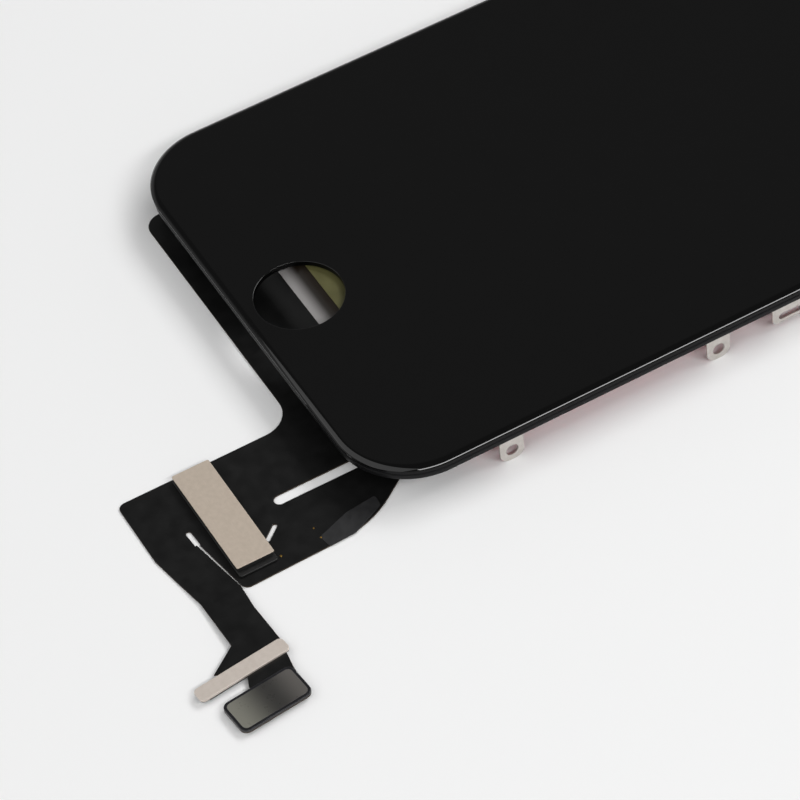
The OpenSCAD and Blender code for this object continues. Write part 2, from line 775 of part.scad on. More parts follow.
// Side view of the tail, rising from the surface to the connectors' height
function rise_x(i) = rise_from + (rise_to - rise_from) * i / rise_steps;
module rise_section() {
    rise = [for (i = [0:rise_steps]) [rise_x(i), flex_low + socket_h * ease(rise_from, rise_to, rise_x(i))]];
    far = pad_x + pad_w;
    polygon(concat(
        [[slit_x - 2, flex_low]], rise, [[far, end_low], [far, end_top]],
        [for (i = [rise_steps:-1:0]) rise[i] + [0, flex_t]], [[slit_x - 2, flex_top]]
    ));
}

module display_flex() {
    reach = glass_w;
    color([0.13, 0.13, 0.13]) union() {
        intersection() {
            translate([0, 0, rest_z - 1]) linear_extrude(-rest_z + 1) main_plan();
            translate([-reach, 0, 0]) rotate([90, 0, 90]) linear_extrude(2 * reach) bend_section();
        }
        intersection() {
            translate([0, 0, rest_z - 1]) linear_extrude(-rest_z + 1) tail_plan();
            translate([0, near_y, 0]) rotate([90, 0, 0]) linear_extrude(2 * reach) rise_section();
        }
    }
}

module bond_tape() {
    tape_w = 2 * (bond_half - head_margin);
    color([0.48, 0.46, 0.16])
        sheet(tape_w, near_y + bend_top + tape_gap, tft_near + bond_l, bond_z + flex_t + tape_t, tape_t);
}

// Rectangle about the plate's centre line, from the plate's left end
module chip_block(l, w, low, h) {
    translate([plate_left, near_y - plate_y - w / 2, low]) cube([l, w, h]);
}

module chip_stiffener() {
    color([0.10, 0.10, 0.10]) chip_block(plate_l + chip_base_over, plate_w + 0.1, flex_top, chip_base_t);
}

module touch_chip() {
    color([0.18, 0.18, 0.20])
        translate([plate_left + (plate_l - touch_l) / 2, near_y - plate_y - touch_w / 2, chip_top])
            cube([touch_l, touch_w, touch_t]);
}

module shield_gasket() {
    color([0.07, 0.07, 0.07]) difference() {
        chip_block(plate_l, plate_w, chip_top, gasket_h);
        translate([gasket_wall, 0, -1])
            chip_block(plate_l - 2 * gasket_wall, plate_w - 2 * gasket_wall, chip_top, gasket_h + 2);
    }
}

module shield_plate() {
    color([0.70, 0.66, 0.61]) chip_block(plate_l, plate_w, plate_low, plate_t);
}

module bar_stiffener() {
    color([0.76, 0.73, 0.70]) turned(bar_x, bar_y, bar_turn)
        translate([0, 0, end_top]) linear_extrude(bar_t) rounded_rect(bar_w, bar_l, bar_r);
}

// Plug with a groove in its lower face
module plug(w, l) {
    difference() {
        translate([-w / 2, -l / 2, rest_z]) cube([w, l, socket_h]);
        translate([-w / 2 + socket_wall, -l / 2 + 2 * socket_wall, rest_z - 1])
            cube([w - 2 * socket_wall, l - 4 * socket_wall, socket_groove + 1]);
    }
}

module bar_connector() {
    color([0.12, 0.11, 0.10]) turned(bar_x, bar_y, bar_turn) plug(bar_socket_w, bar_socket_l);
}

module pad_stiffener() {
    color([0.16, 0.16, 0.16]) turned(pad_x, pad_y, pad_turn)
        translate([0, 0, end_top]) linear_extrude(pad_t) rounded_rect(pad_w, pad_l, pad_r);
}

module pad_connector() {
    color([0.12, 0.11, 0.10]) turned(pad_x, pad_y, pad_turn) plug(pad_socket_w, pad_socket_l);
}

module earpiece_mesh() {
    color([0.30, 0.30, 0.31]) translate([0, ear_y, glass_back - mesh_t]) linear_extrude(mesh_t)
        stadium(ear_l + 2 * mesh_margin, ear_w + 2 * mesh_margin);
}

// Ring bonded to the back of the glass
module back_ring(x, y, outer, bore) {
    translate([x, y, glass_back - ring_h]) difference() {
        cylinder(d = outer, h = ring_h);
        translate([0, 0, -1]) cylinder(d = bore, h = ring_h + 2);
    }
}

module camera_ring() {
    color([0.15, 0.15, 0.16]) back_ring(-camera_x, ear_y, camera_d, camera_bore);
}

module sensor_ring() {
    color([0.15, 0.15, 0.16]) back_ring(0, sensor_y, sensor_d, sensor_bore);
}

cover_glass();
optical_adhesive();
front_polarizer();
colour_filter_glass();
tft_glass();
rear_polarizer();
driver_chip();
upper_prism_film();
lower_prism_film();
diffuser_film();
light_guide();
reflector_film();
backlight_lamps();
lamp_circuit();
backlight_moulding();
backlight_tray();
rear_liner_film();
frame_adhesive();
bezel_frame();
round_clips_right();
round_clips_left();
slotted_clips_right();
slotted_clips_left();
display_flex();
bond_tape();
chip_stiffener();
touch_chip();
shield_gasket();
shield_plate();
bar_stiffener();
bar_connector();
pad_stiffener();
pad_connector();
earpiece_mesh();
camera_ring();
sensor_ring();
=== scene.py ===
"""Looks for a phone screen assembly that lies face up with its flexible circuit unfolded.

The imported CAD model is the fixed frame. Each sub-assembly is a class that reads its place from
that frame, builds its visible pieces from outlines and profiles, and dresses them. Lengths are
in millimetres until a mesh is written, which turns them to metres.
"""

import logging
import math
from dataclasses import dataclass, field
from enum import Enum
from typing import Callable, Sequence

import bpy
import numpy as np
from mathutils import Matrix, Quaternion, Vector
from mathutils.geometry import delaunay_2d_cdt


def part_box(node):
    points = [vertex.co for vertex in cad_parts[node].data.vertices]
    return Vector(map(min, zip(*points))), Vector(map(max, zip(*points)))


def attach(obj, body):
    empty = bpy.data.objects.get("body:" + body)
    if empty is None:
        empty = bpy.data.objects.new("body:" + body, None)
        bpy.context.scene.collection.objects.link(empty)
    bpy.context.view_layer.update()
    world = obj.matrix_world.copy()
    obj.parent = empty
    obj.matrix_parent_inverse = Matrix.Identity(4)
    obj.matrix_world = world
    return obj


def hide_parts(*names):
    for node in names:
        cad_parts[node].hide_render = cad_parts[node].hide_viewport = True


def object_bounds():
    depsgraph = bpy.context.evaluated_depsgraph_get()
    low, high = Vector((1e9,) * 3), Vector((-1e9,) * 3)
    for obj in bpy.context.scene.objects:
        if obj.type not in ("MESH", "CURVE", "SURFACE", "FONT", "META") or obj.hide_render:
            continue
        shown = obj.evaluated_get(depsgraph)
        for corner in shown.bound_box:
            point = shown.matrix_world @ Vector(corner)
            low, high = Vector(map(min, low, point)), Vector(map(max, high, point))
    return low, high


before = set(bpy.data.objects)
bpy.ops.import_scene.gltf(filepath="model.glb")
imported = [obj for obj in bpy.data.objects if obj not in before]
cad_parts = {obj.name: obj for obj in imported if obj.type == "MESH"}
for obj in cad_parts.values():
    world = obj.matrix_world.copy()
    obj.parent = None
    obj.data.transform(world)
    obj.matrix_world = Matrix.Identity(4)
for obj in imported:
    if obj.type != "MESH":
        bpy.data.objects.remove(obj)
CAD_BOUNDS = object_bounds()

log = logging.getLogger("screen")
MM = 0.001
Array = np.ndarray
Corner = tuple[float, float, float]


# ---------------------------------------------------------------- small tools


def linear(code: str) -> tuple[float, float, float, float]:
    """Turns an sRGB hex colour to linear light: the power curve of 2.4 with its straight foot.

    Args:
        code: six hex digits, with or without a leading #.

    Returns:
        Linear red, green, blue and an alpha of 1.
    """
    digits = code.lstrip("#")
    srgb = np.array([int(digits[i : i + 2], 16) for i in (0, 2, 4)]) / 255
    light = np.where(srgb <= 0.04045, srgb / 12.92, ((srgb + 0.055) / 1.055) ** 2.4)
    return (*light.tolist(), 1.0)


def add_node(
    tree: bpy.types.NodeTree,
    kind: str,
    settings: dict[str, object] | None = None,
    sockets: dict[str | int, object] | None = None,
) -> bpy.types.Node:
    """Adds a node, sets its properties, and fills or links its input sockets.

    Args:
        tree: the node tree to add to.
        kind: the node's type name.
        settings: properties of the node itself.
        sockets: input name or number to a value, or to an output socket to link from.

    Returns:
        The new node.
    """
    node = tree.nodes.new(kind)
    for name, value in (settings or {}).items():
        setattr(node, name, value)
    for key, value in (sockets or {}).items():
        if isinstance(value, bpy.types.NodeSocket):
            tree.links.new(value, node.inputs[key])
        else:
            node.inputs[key].default_value = value
    return node


def normal_up(tree: bpy.types.NodeTree) -> bpy.types.NodeSocket:
    """Adds the height part of the surface's normal, 1 on a level face and 0 on an upright one."""
    normal = add_node(tree, "ShaderNodeNewGeometry").outputs["Normal"]
    return add_node(tree, "ShaderNodeSeparateXYZ", None, {0: normal}).outputs[2]


def box_mm(node: str) -> tuple[Array, Array]:
    """Returns the lowest and highest corner of a CAD node, in millimetres."""
    low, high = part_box(node)
    return np.array(low) / MM, np.array(high) / MM


# ---------------------------------------------------------------- outlines and profiles


def round_path(corners: Sequence[Corner], steps: int = 8) -> Array:
    """Closed outline through corners [x, y, r], each turned into an arc of radius r.

    The arc's centre lies on the corner's bisector, r over the sine of half the angle away, and
    the arc runs between the two points that are r over the tangent of half the angle away.

    Args:
        corners: corner points with their radius, counter-clockwise for an outer outline.
        steps: parts that each arc is drawn in.

    Returns:
        Points of the outline, one row each.
    """
    table = np.array(corners, float)
    point, radius = table[:, :2], table[:, 2:3]
    back = np.roll(point, 1, axis=0) - point
    ahead = np.roll(point, -1, axis=0) - point
    back /= np.linalg.norm(back, axis=1, keepdims=True)
    ahead /= np.linalg.norm(ahead, axis=1, keepdims=True)
    half = np.arccos(np.clip((back * ahead).sum(1, keepdims=True), -1, 1)) / 2
    bisector = back + ahead
    bisector /= np.maximum(np.linalg.norm(bisector, axis=1, keepdims=True), 1e-9)
    centre = point + bisector * radius / np.sin(half)
    start = point + back * radius / np.tan(half) - centre
    end = point + ahead * radius / np.tan(half) - centre
    first = np.arctan2(start[:, 1], start[:, 0])[:, None]
    cross = start[:, 0] * end[:, 1] - start[:, 1] * end[:, 0]
    turn = np.arctan2(cross, (start * end).sum(1))[:, None]
    angle = first + turn * np.linspace(0, 1, steps + 1)[None]
    arcs = centre[:, None] + radius[:, None] * np.stack([np.cos(angle), np.sin(angle)], -1)
    path = arcs.reshape(-1, 2)
    kept = np.linalg.norm(path - np.roll(path, 1, axis=0), axis=1) > 1e-4
    return path[kept]


def resample(path: Array, spacing: float) -> Array:
    """Closed outline with points added along each side, so that none is longer than spacing.

    Args:
        path: points of the outline.
        spacing: longest side that stays.

    Returns:
        Points of the finer outline.
    """
    ahead = np.roll(path, -1, axis=0)
    parts = np.maximum(1, np.ceil(np.linalg.norm(ahead - path, axis=1) / spacing)).astype(int)
    side = np.repeat(np.arange(len(path)), parts)
    first = np.cumsum(parts) - parts
    share = (np.arange(parts.sum()) - first[side]) / parts[side]
    return path[side] + (ahead - path)[side] * share[:, None]


def circle(x: float, y: float, r: float, steps: int = 64) -> Array:
    """Counter-clockwise circle about x, y: the cosine and sine of even angles times r."""
    angle = np.linspace(0, 2 * np.pi, steps, endpoint=False)
    return np.stack([x + r * np.cos(angle), y + r * np.sin(angle)], -1)


def turned(path: Array, x: float, y: float, degrees: float) -> Array:
    """Outline turned about its own origin and moved to x, y."""
    c, s = math.cos(math.radians(degrees)), math.sin(math.radians(degrees))
    return path @ np.array([[c, s], [-s, c]]) + [x, y]


def rounded_box(width: float, length: float, r: float, steps: int = 8) -> Array:
    """Counter-clockwise rounded rectangle about the origin."""
    x, y = width / 2, length / 2
    return round_path([(-x, -y, r), (x, -y, r), (x, y, r), (-x, y, r)], steps)


def slot_path(length: float, width: float, steps: int = 16) -> Array:
    """Counter-clockwise slot along X about the origin, its ends half circles."""
    return rounded_box(length, width, width / 2 - 1e-3, steps)


def arc_path(x: float, y: float, r: float, start: float, end: float, steps: int = 32) -> Array:
    """Open arc about x, y between two angles in degrees, in even steps."""
    angle = np.radians(np.linspace(start, end, steps + 1))
    return np.stack([x + r * np.cos(angle), y + r * np.sin(angle)], -1)


def edge_profile(
    top: float, bottom: float, r_top: float = 0.05, r_bottom: float = 0.05, steps: int = 4
) -> Array:
    """Side of a plate as [inset, height], with a quarter round at each edge.

    A guard row just inside each edge keeps the flat face flat under smooth shading. Along each
    quarter the inset is r times one less the sine, and the height r times one less the cosine.

    Args:
        top: height of the upper face.
        bottom: height of the lower face.
        r_top: radius of the upper edge.
        r_bottom: radius of the lower edge.
        steps: parts of each quarter.

    Returns:
        Rows of inset and height, from the upper face to the lower.
    """
    angle = np.linspace(0, np.pi / 2, steps + 1)
    rise = np.stack([r_top * (1 - np.sin(angle)), top - r_top * (1 - np.cos(angle))], -1)
    fall = np.stack([r_bottom * (1 - np.sin(angle)), bottom + r_bottom * (1 - np.cos(angle))], -1)
    guard = [[1.6 * r_top + 0.02, top]], [[1.6 * r_bottom + 0.02, bottom]]
    return np.concatenate([guard[0], rise, fall[::-1], guard[1]])


def inside(points: Array, loops: Sequence[Array]) -> Array:
    """Even-odd test of points against closed loops: a ray along X crosses an odd number.

    Args:
        points: points in plan.
        loops: closed outlines.

    Returns:
        True for each point inside.
    """
    odd = np.zeros(len(points), bool)
    for loop in loops:
        a, b = loop, np.roll(loop, -1, axis=0)
        rise = b[:, 1] - a[:, 1]
        rise = np.where(rise == 0, 1e-12, rise)
        spans = (a[None, :, 1] > points[:, None, 1]) != (b[None, :, 1] > points[:, None, 1])
        share = (points[:, None, 1] - a[None, :, 1]) / rise
        reach = a[None, :, 0] + share * (b - a)[None, :, 0]
        odd ^= (spans & (points[:, None, 0] < reach)).sum(1) % 2 == 1
    return odd


@dataclass
class Shell:
    """Closed surface made of strips carried along outlines, and flat caps between them."""

    points: list[Array] = field(default_factory=list)
    faces: list[list[int]] = field(default_factory=list)
    count: int = 0

    def _add(self, points: Array) -> Array:
        """Stores points and returns their numbers.

        Args:
            points: rows of three coordinates.

        Returns:
            One number for each point.
        """
        ids = self.count + np.arange(len(points))
        self.points.append(points)
        self.count += len(points)
        return ids

    def strip(self, outline: Array, profile: Array) -> Array:
        """Carries a profile along a closed outline.

        Each row of the profile is the outline moved to the left of its travel by the inset, along
        the mean of its two side normals over one plus their cosine, at the row's height.

        Args:
            outline: closed outline with the material on its left.
            profile: rows of inset and height, from the top down.

        Returns:
            Point numbers, one row per profile row.
        """
        side = np.roll(outline, -1, axis=0) - outline
        side /= np.linalg.norm(side, axis=1, keepdims=True)
        after = np.stack([-side[:, 1], side[:, 0]], -1)
        before = np.roll(after, 1, axis=0)
        miter = (before + after) / (1 + (before * after).sum(1, keepdims=True))
        plan = outline[None] + profile[:, 0, None, None] * miter[None]
        height = np.broadcast_to(profile[:, 1, None, None], (*plan.shape[:2], 1))
        ids = self._add(np.concatenate([plan, height], -1).reshape(-1, 3)).reshape(plan.shape[:2])
        upper, lower = ids[:-1], ids[1:]
        quads = [upper, lower, np.roll(lower, -1, 1), np.roll(upper, -1, 1)]
        self.faces += np.stack(quads, -1).reshape(-1, 4).tolist()
        return ids

    def cap(self, rings: Sequence[Array], up: bool, spacing: float = 0.0) -> None:
        """Fills the flat area between rings of points with triangles.

        Args:
            rings: point numbers of each closed ring, all at one height.
            up: True for a face that looks up.
            spacing: distance of the extra points inside, or 0 for none.
        """
        stored = np.concatenate(self.points)
        loops = [stored[ring][:, :2] for ring in rings]
        ids = np.concatenate(rings)
        plan = np.concatenate(loops)
        if spacing:
            extra = self._grid(loops, plan, spacing)
            height = np.full((len(extra), 1), stored[rings[0][0], 2])
            ids = np.concatenate([ids, self._add(np.concatenate([extra, height], 1))])
            plan = np.concatenate([plan, extra])
        starts = np.cumsum([0] + [len(ring) for ring in rings[:-1]])
        sides = [np.stack([s + np.arange(len(r)), s + np.roll(np.arange(len(r)), -1)], -1)
                 for s, r in zip(starts, rings)]
        made = delaunay_2d_cdt(plan.tolist(), np.concatenate(sides).tolist(), [], 0, 1e-7)
        if len(made[0]) != len(plan):
            raise ValueError("a cap's outline crosses itself")
        triangles = np.array(made[2])
        a, b, c = (plan[triangles[:, k]] for k in range(3))
        u, v = b - a, c - a
        area = u[:, 0] * v[:, 1] - u[:, 1] * v[:, 0]
        kept = inside((a + b + c) / 3, loops) & (np.abs(area) > 1e-9)
        flip = (area > 0) != up
        triangles[flip] = triangles[flip][:, ::-1]
        self.faces += ids[triangles[kept]].tolist()

    @staticmethod
    def _grid(loops: Sequence[Array], plan: Array, spacing: float) -> Array:
        """Even points inside the loops, at least half a spacing from every outline point.

        Args:
            loops: closed outlines.
            plan: all points of the outlines.
            spacing: distance of the points.

        Returns:
            Points in plan.
        """
        low, high = plan.min(0), plan.max(0)
        x, y = (np.arange(low[k] + spacing / 3, high[k], spacing) for k in (0, 1))
        spots = np.stack(np.meshgrid(x, y), -1).reshape(-1, 2)
        spots = spots[inside(spots, loops)]
        away = ((spots[:, None] - plan[None]) ** 2).sum(-1).min(1)
        return spots[away > (spacing / 2) ** 2]

    def piece(
        self,
        name: str,
        place: Callable[[Array], Array] | None = None,
        sharp: float = 35.0,
    ) -> bpy.types.Object:
        """Writes the surface into a new object at the origin.

        Args:
            name: the object's name.
            place: function that takes all points to their place, in millimetres.
            sharp: angle in degrees above which an edge stays sharp.

        Returns:
            The new object.
        """
        points = np.concatenate(self.points)
        if place:
            points = place(points)
        mesh = bpy.data.meshes.new(name)
        mesh.from_pydata((points * MM).tolist(), [], self.faces)
        mesh.polygons.foreach_set("use_smooth", np.ones(len(mesh.polygons), bool))
        mesh.set_sharp_from_angle(angle=math.radians(sharp))
        mesh.update()
        made = bpy.data.objects.new(name, mesh)
        bpy.context.scene.collection.objects.link(made)
        return made


def plate(
    name: str,
    outers: Sequence[Array],
    profile: Array,
    holes: Sequence[Array] = (),
    hole_profile: Array | None = None,
    place: Callable[[Array], Array] | None = None,
    spacing: float = 0.0,
) -> bpy.types.Object:
    """Flat plate with profiled edges, from outer outlines and holes.

    Args:
        name: the object's name.
        outers: counter-clockwise outer outlines.
        profile: side of the outer edge, rows of inset and height.
        holes: counter-clockwise outlines of the holes.
        hole_profile: side of the holes, or None for the outer one.
        place: function that takes all points to their place.
        spacing: distance of extra points in the faces, or 0 for none.

    Returns:
        The new object.
    """
    shell = Shell()
    inner = profile if hole_profile is None else hole_profile
    strips = [shell.strip(outer, profile) for outer in outers]
    strips += [shell.strip(hole[::-1], inner) for hole in holes]
    shell.cap([s[0] for s in strips], True, spacing)
    shell.cap([s[-1] for s in strips], False, spacing)
    return shell.piece(name, place)


# ---------------------------------------------------------------- finishes


class Grain(Enum):
    """How a finish's small pattern runs."""

    SPECKLE = "speckle"
    BRUSHED_X = "brushed along X"
    BRUSHED_Y = "brushed along Y"
    CELLS = "cells"
    RIBS = "ribs"
    WEAVE = "weave"


@dataclass(frozen=True)
class Finish:
    """Procedural finish: a colour that varies between two shades, with grain in gloss and relief.

    Attributes:
        name: what the real surface is.
        light: lighter shade, sRGB hex.
        dark: darker shade, sRGB hex.
        grain_mm: size of the pattern's features.
        grain: how the pattern runs.
        metallic: 1 for a metal.
        rough: roughness where the grain is low.
        swing: how much rougher it is where the grain is high.
        bump_mm: height of the relief.
        ior: index of refraction, or None for a metal.
        coat: weight of a clear coat.
        specular: level of the reflection, 0.5 for what the index gives.
    """

    name: str
    light: str
    dark: str
    grain_mm: float
    grain: Grain = Grain.SPECKLE
    metallic: float = 0.0
    rough: float = 0.5
    swing: float = 0.1
    bump_mm: float = 0.004
    ior: float | None = 1.5
    coat: float = 0.0
    specular: float = 0.5

    def stretch(self) -> tuple[float, float, float]:
        """Scale of the pattern along each axis: brushed lines are 30 times longer than wide.

        Returns:
            Scale along X, Y and Z.
        """
        line = 1 / 30
        return {
            Grain.BRUSHED_X: (line, 1.0, 1.0),
            Grain.BRUSHED_Y: (1.0, line, 1.0),
        }.get(self.grain, (1.0, 1.0, 1.0))

    def height(self, tree: bpy.types.NodeTree,
               place: bpy.types.NodeSocket) -> bpy.types.NodeSocket:
        """Adds the grain, from 0 to 1, and returns its socket.

        Args:
            tree: the node tree to add to.
            place: socket with the place on the piece.

        Returns:
            The socket with the grain's height.
        """
        scale = 1 / (self.grain_mm * MM)
        if self.grain is Grain.CELLS:
            return add_node(tree, "ShaderNodeTexVoronoi", None,
                            {"Vector": place, "Scale": scale}).outputs["Distance"]
        if self.grain is Grain.RIBS:
            wave = {"wave_type": "BANDS", "bands_direction": "X", "wave_profile": "TRI"}
            return add_node(tree, "ShaderNodeTexWave", wave,
                            {"Vector": place, "Scale": scale / 3}).outputs["Fac"]
        if self.grain is Grain.WEAVE:
            threads = [
                add_node(tree, "ShaderNodeTexWave", {"wave_type": "BANDS", "bands_direction": way},
                         {"Vector": place, "Scale": scale / 3}).outputs["Fac"]
                for way in ("X", "Y")
            ]
            return add_node(tree, "ShaderNodeMath", {"operation": "MAXIMUM"},
                            {0: threads[0], 1: threads[1]}).outputs[0]
        return add_node(tree, "ShaderNodeTexNoise", None,
                        {"Vector": place, "Scale": scale, "Detail": 3.0}).outputs["Fac"]

    def colour(self, tree: bpy.types.NodeTree, place: bpy.types.NodeSocket,
               height: bpy.types.NodeSocket) -> bpy.types.NodeSocket:
        """Adds the colour, here the two shades mixed by the grain and by broad cloudiness.

        Args:
            tree: the node tree to add to.
            place: socket with the place on the piece.
            height: socket with the grain's height.

        Returns:
            The colour's socket.
        """
        cloud = add_node(tree, "ShaderNodeTexNoise", None,
                         {"Vector": place, "Scale": 1 / (12 * self.grain_mm * MM), "Detail": 2.0})
        share = add_node(tree, "ShaderNodeMath", {"operation": "MULTIPLY"},
                         {0: height, 1: cloud.outputs["Fac"]})
        spread = add_node(tree, "ShaderNodeMapRange", None,
                          {"Value": share.outputs[0], 1: 0.1, 2: 0.5})
        return self.mix(tree, spread.outputs[0], linear(self.dark), linear(self.light))

    @staticmethod
    def mix(tree: bpy.types.NodeTree, share: bpy.types.NodeSocket, low: object,
            high: object) -> bpy.types.NodeSocket:
        """Adds a colour mix from low at 0 to high at 1, and returns its colour.

        Args:
            tree: the node tree to add to.
            share: socket with the share of the second colour.
            low: first colour, or a socket that gives it.
            high: second colour, or a socket that gives it.

        Returns:
            The colour's socket.
        """
        node = add_node(tree, "ShaderNodeMix", {"data_type": "RGBA"},
                        {"Factor": share, 6: low, 7: high})
        return node.outputs[2]

    def finish_shader(self, tree: bpy.types.NodeTree, shader: bpy.types.Node) -> None:
        """Last settings on the shader, for finishes that need more."""

    def material(self) -> bpy.types.Material:
        """Builds the node material, or returns the one already built under this name.

        Returns:
            The material.
        """
        known = bpy.data.materials.get(self.name)
        if known:
            return known
        made = bpy.data.materials.new(self.name)
        made.use_nodes = True
        tree = made.node_tree
        tree.nodes.clear()
        coordinates = add_node(tree, "ShaderNodeTexCoord").outputs["Object"]
        mapped = add_node(tree, "ShaderNodeMapping", None,
                          {"Vector": coordinates, "Scale": self.stretch()}).outputs[0]
        height = self.height(tree, mapped)
        rough = add_node(tree, "ShaderNodeMapRange", None, {
            "Value": height, 1: 0.2, 2: 0.8, 3: self.rough, 4: self.rough + self.swing})
        relief = add_node(tree, "ShaderNodeBump", None,
                          {"Height": height, "Strength": 0.5, "Distance": self.bump_mm * MM})
        shader = add_node(tree, "ShaderNodeBsdfPrincipled", None, {
            "Base Color": self.colour(tree, coordinates, height),
            "Metallic": self.metallic,
            "Roughness": rough.outputs[0],
            "Normal": relief.outputs[0],
            "Coat Weight": self.coat,
            "Specular IOR Level": self.specular,
        })
        if self.ior is not None:
            shader.inputs["IOR"].default_value = self.ior
        self.finish_shader(tree, shader)
        add_node(tree, "ShaderNodeOutputMaterial", None, {"Surface": shader.outputs[0]})
        return made


@dataclass(frozen=True)
class GlassFinish(Finish):
    """Polished cover glass with black ink behind it.

    The flat face looks a deep even grey-black, and the rounded band is coloured blacker still
    by its slope, and carries the highlights.

    Attributes:
        band: shade of the rounded band.
        flat: normal's heights at which the band's colour ends and the ink's colour is full.
        ground: normal's height on the dull ground edge, and where the polish is full.
        dull: level of the reflection on the ground edge.
    """

    band: str = "040404"
    flat: tuple[float, float] = (0.985, 0.9995)
    ground: tuple[float, float] = (0.45, 0.62)
    dull: float = 0.12

    def colour(self, tree: bpy.types.NodeTree, place: bpy.types.NodeSocket,
               height: bpy.types.NodeSocket) -> bpy.types.NodeSocket:
        """Mixes the band and the ink by the slope.

        Args:
            tree: the node tree to add to.
            place: socket with the place on the piece.
            height: socket with the grain's height.

        Returns:
            The colour's socket.
        """
        level = add_node(tree, "ShaderNodeMapRange", {"interpolation_type": "SMOOTHSTEP"},
                         {"Value": normal_up(tree), 1: self.flat[0], 2: self.flat[1]})
        ink = super().colour(tree, place, height)
        return self.mix(tree, level.outputs[0], linear(self.band), ink)

    def finish_shader(self, tree: bpy.types.NodeTree, shader: bpy.types.Node) -> None:
        """Dulls the ground edge, whose slope is steeper than the polished band's.

        Args:
            tree: the node tree to add to.
            shader: the finish's shader.
        """
        level = add_node(tree, "ShaderNodeMapRange", None, {
            "Value": normal_up(tree), 1: self.ground[0], 2: self.ground[1], 3: self.dull,
            4: self.specular})
        tree.links.new(level.outputs[0], shader.inputs["Specular IOR Level"])


@dataclass(frozen=True)
class CoverlayFinish(Finish):
    """Black coverlay film over a polyimide circuit.

    The film looks semi-gloss and nearly black, with faint waves. Its cut sides show the brown
    polyimide. A band without film under the button hole has a painted highlight: pale at the
    film's edge, fading to brown.

    Attributes:
        side: shade of the cut sides.
        bare_painted_highlight: painted highlight at the near edge of the bare band.
        bare_dark: shade where the painted highlight has faded.
        bare_from: place of the band's near edge along Y, in millimetres.
        bare_to: place where it has faded.
        upright: normal's height under which a face is a cut side.
    """

    side: str = "3a2c1c"
    # The bare band's fade from pale to brown is a painted highlight for the light off the bend.
    bare_painted_highlight: str = "b0adac"
    bare_dark: str = "1c1610"
    bare_from: float = -59.45
    bare_to: float = -57.9
    upright: float = 0.35

    def colour(self, tree: bpy.types.NodeTree, place: bpy.types.NodeSocket,
               height: bpy.types.NodeSocket) -> bpy.types.NodeSocket:
        """Mixes film, the bare band's painted highlight and cut sides by place and by slope.

        Args:
            tree: the node tree to add to.
            place: socket with the place on the piece.
            height: socket with the grain's height.

        Returns:
            The colour's socket.
        """
        film = super().colour(tree, place, height)
        axes = add_node(tree, "ShaderNodeSeparateXYZ", None, {0: place})
        # Painted highlight: pale at the bare band's film edge, fading to brown along Y.
        highlight_fade = add_node(tree, "ShaderNodeMapRange", {"interpolation_type": "SMOOTHSTEP"},
                        {"Value": axes.outputs[1], 1: self.bare_from * MM, 2: self.bare_to * MM})
        bare = self.mix(tree, highlight_fade.outputs[0], linear(self.bare_painted_highlight), linear(self.bare_dark))
        start = add_node(tree, "ShaderNodeMath", {"operation": "GREATER_THAN"},
                         {0: axes.outputs[1], 1: self.bare_from * MM})
        faces = self.mix(tree, start.outputs[0], film, bare)
        steep = add_node(tree, "ShaderNodeMath", {"operation": "ABSOLUTE"}, {0: normal_up(tree)})
        edge = add_node(tree, "ShaderNodeMath", {"operation": "LESS_THAN"},
                        {0: steep.outputs[0], 1: self.upright})
        return self.mix(tree, edge.outputs[0], faces, linear(self.side))


@dataclass(frozen=True)
class PadFinish(Finish):
    """Glossy grey film with a painted reflection along the pad: pale, nearly black, then mid grey.

    Attributes:
        centre: middle of the pad in millimetres.
        axis: direction of its long side.
        far: shade at the far end.
        fades: start and end of the two fades, in millimetres from the middle.
    """

    centre: tuple[float, float] = (46.8, -89.8)
    axis: tuple[float, float] = (-0.0958, 0.9954)
    far: str = "5c5956"
    fades: tuple[tuple[float, float], ...] = ((-4.2, 0.6), (0.8, 4.2))

    def colour(self, tree: bpy.types.NodeTree, place: bpy.types.NodeSocket,
               height: bpy.types.NodeSocket) -> bpy.types.NodeSocket:
        """Mixes the shades by the distance along the long side, a dot product with its axis.

        Args:
            tree: the node tree to add to.
            place: socket with the place on the piece.
            height: socket with the grain's height.

        Returns:
            The colour's socket.
        """
        # Painted reflection: pale, nearly black, then mid grey along the long side.
        along = add_node(tree, "ShaderNodeVectorMath", {"operation": "DOT_PRODUCT"},
                         {0: place, 1: (*self.axis, 0.0)}).outputs["Value"]
        middle = (self.centre[0] * self.axis[0] + self.centre[1] * self.axis[1]) * MM
        near, far = (add_node(tree, "ShaderNodeMapRange", {"interpolation_type": "SMOOTHSTEP"},
                              {"Value": along, 1: middle + a * MM, 2: middle + b * MM}).outputs[0]
                     for a, b in self.fades)
        first = self.mix(tree, near, linear(self.light), linear(self.dark))
        return self.mix(tree, far, first, linear(self.far))


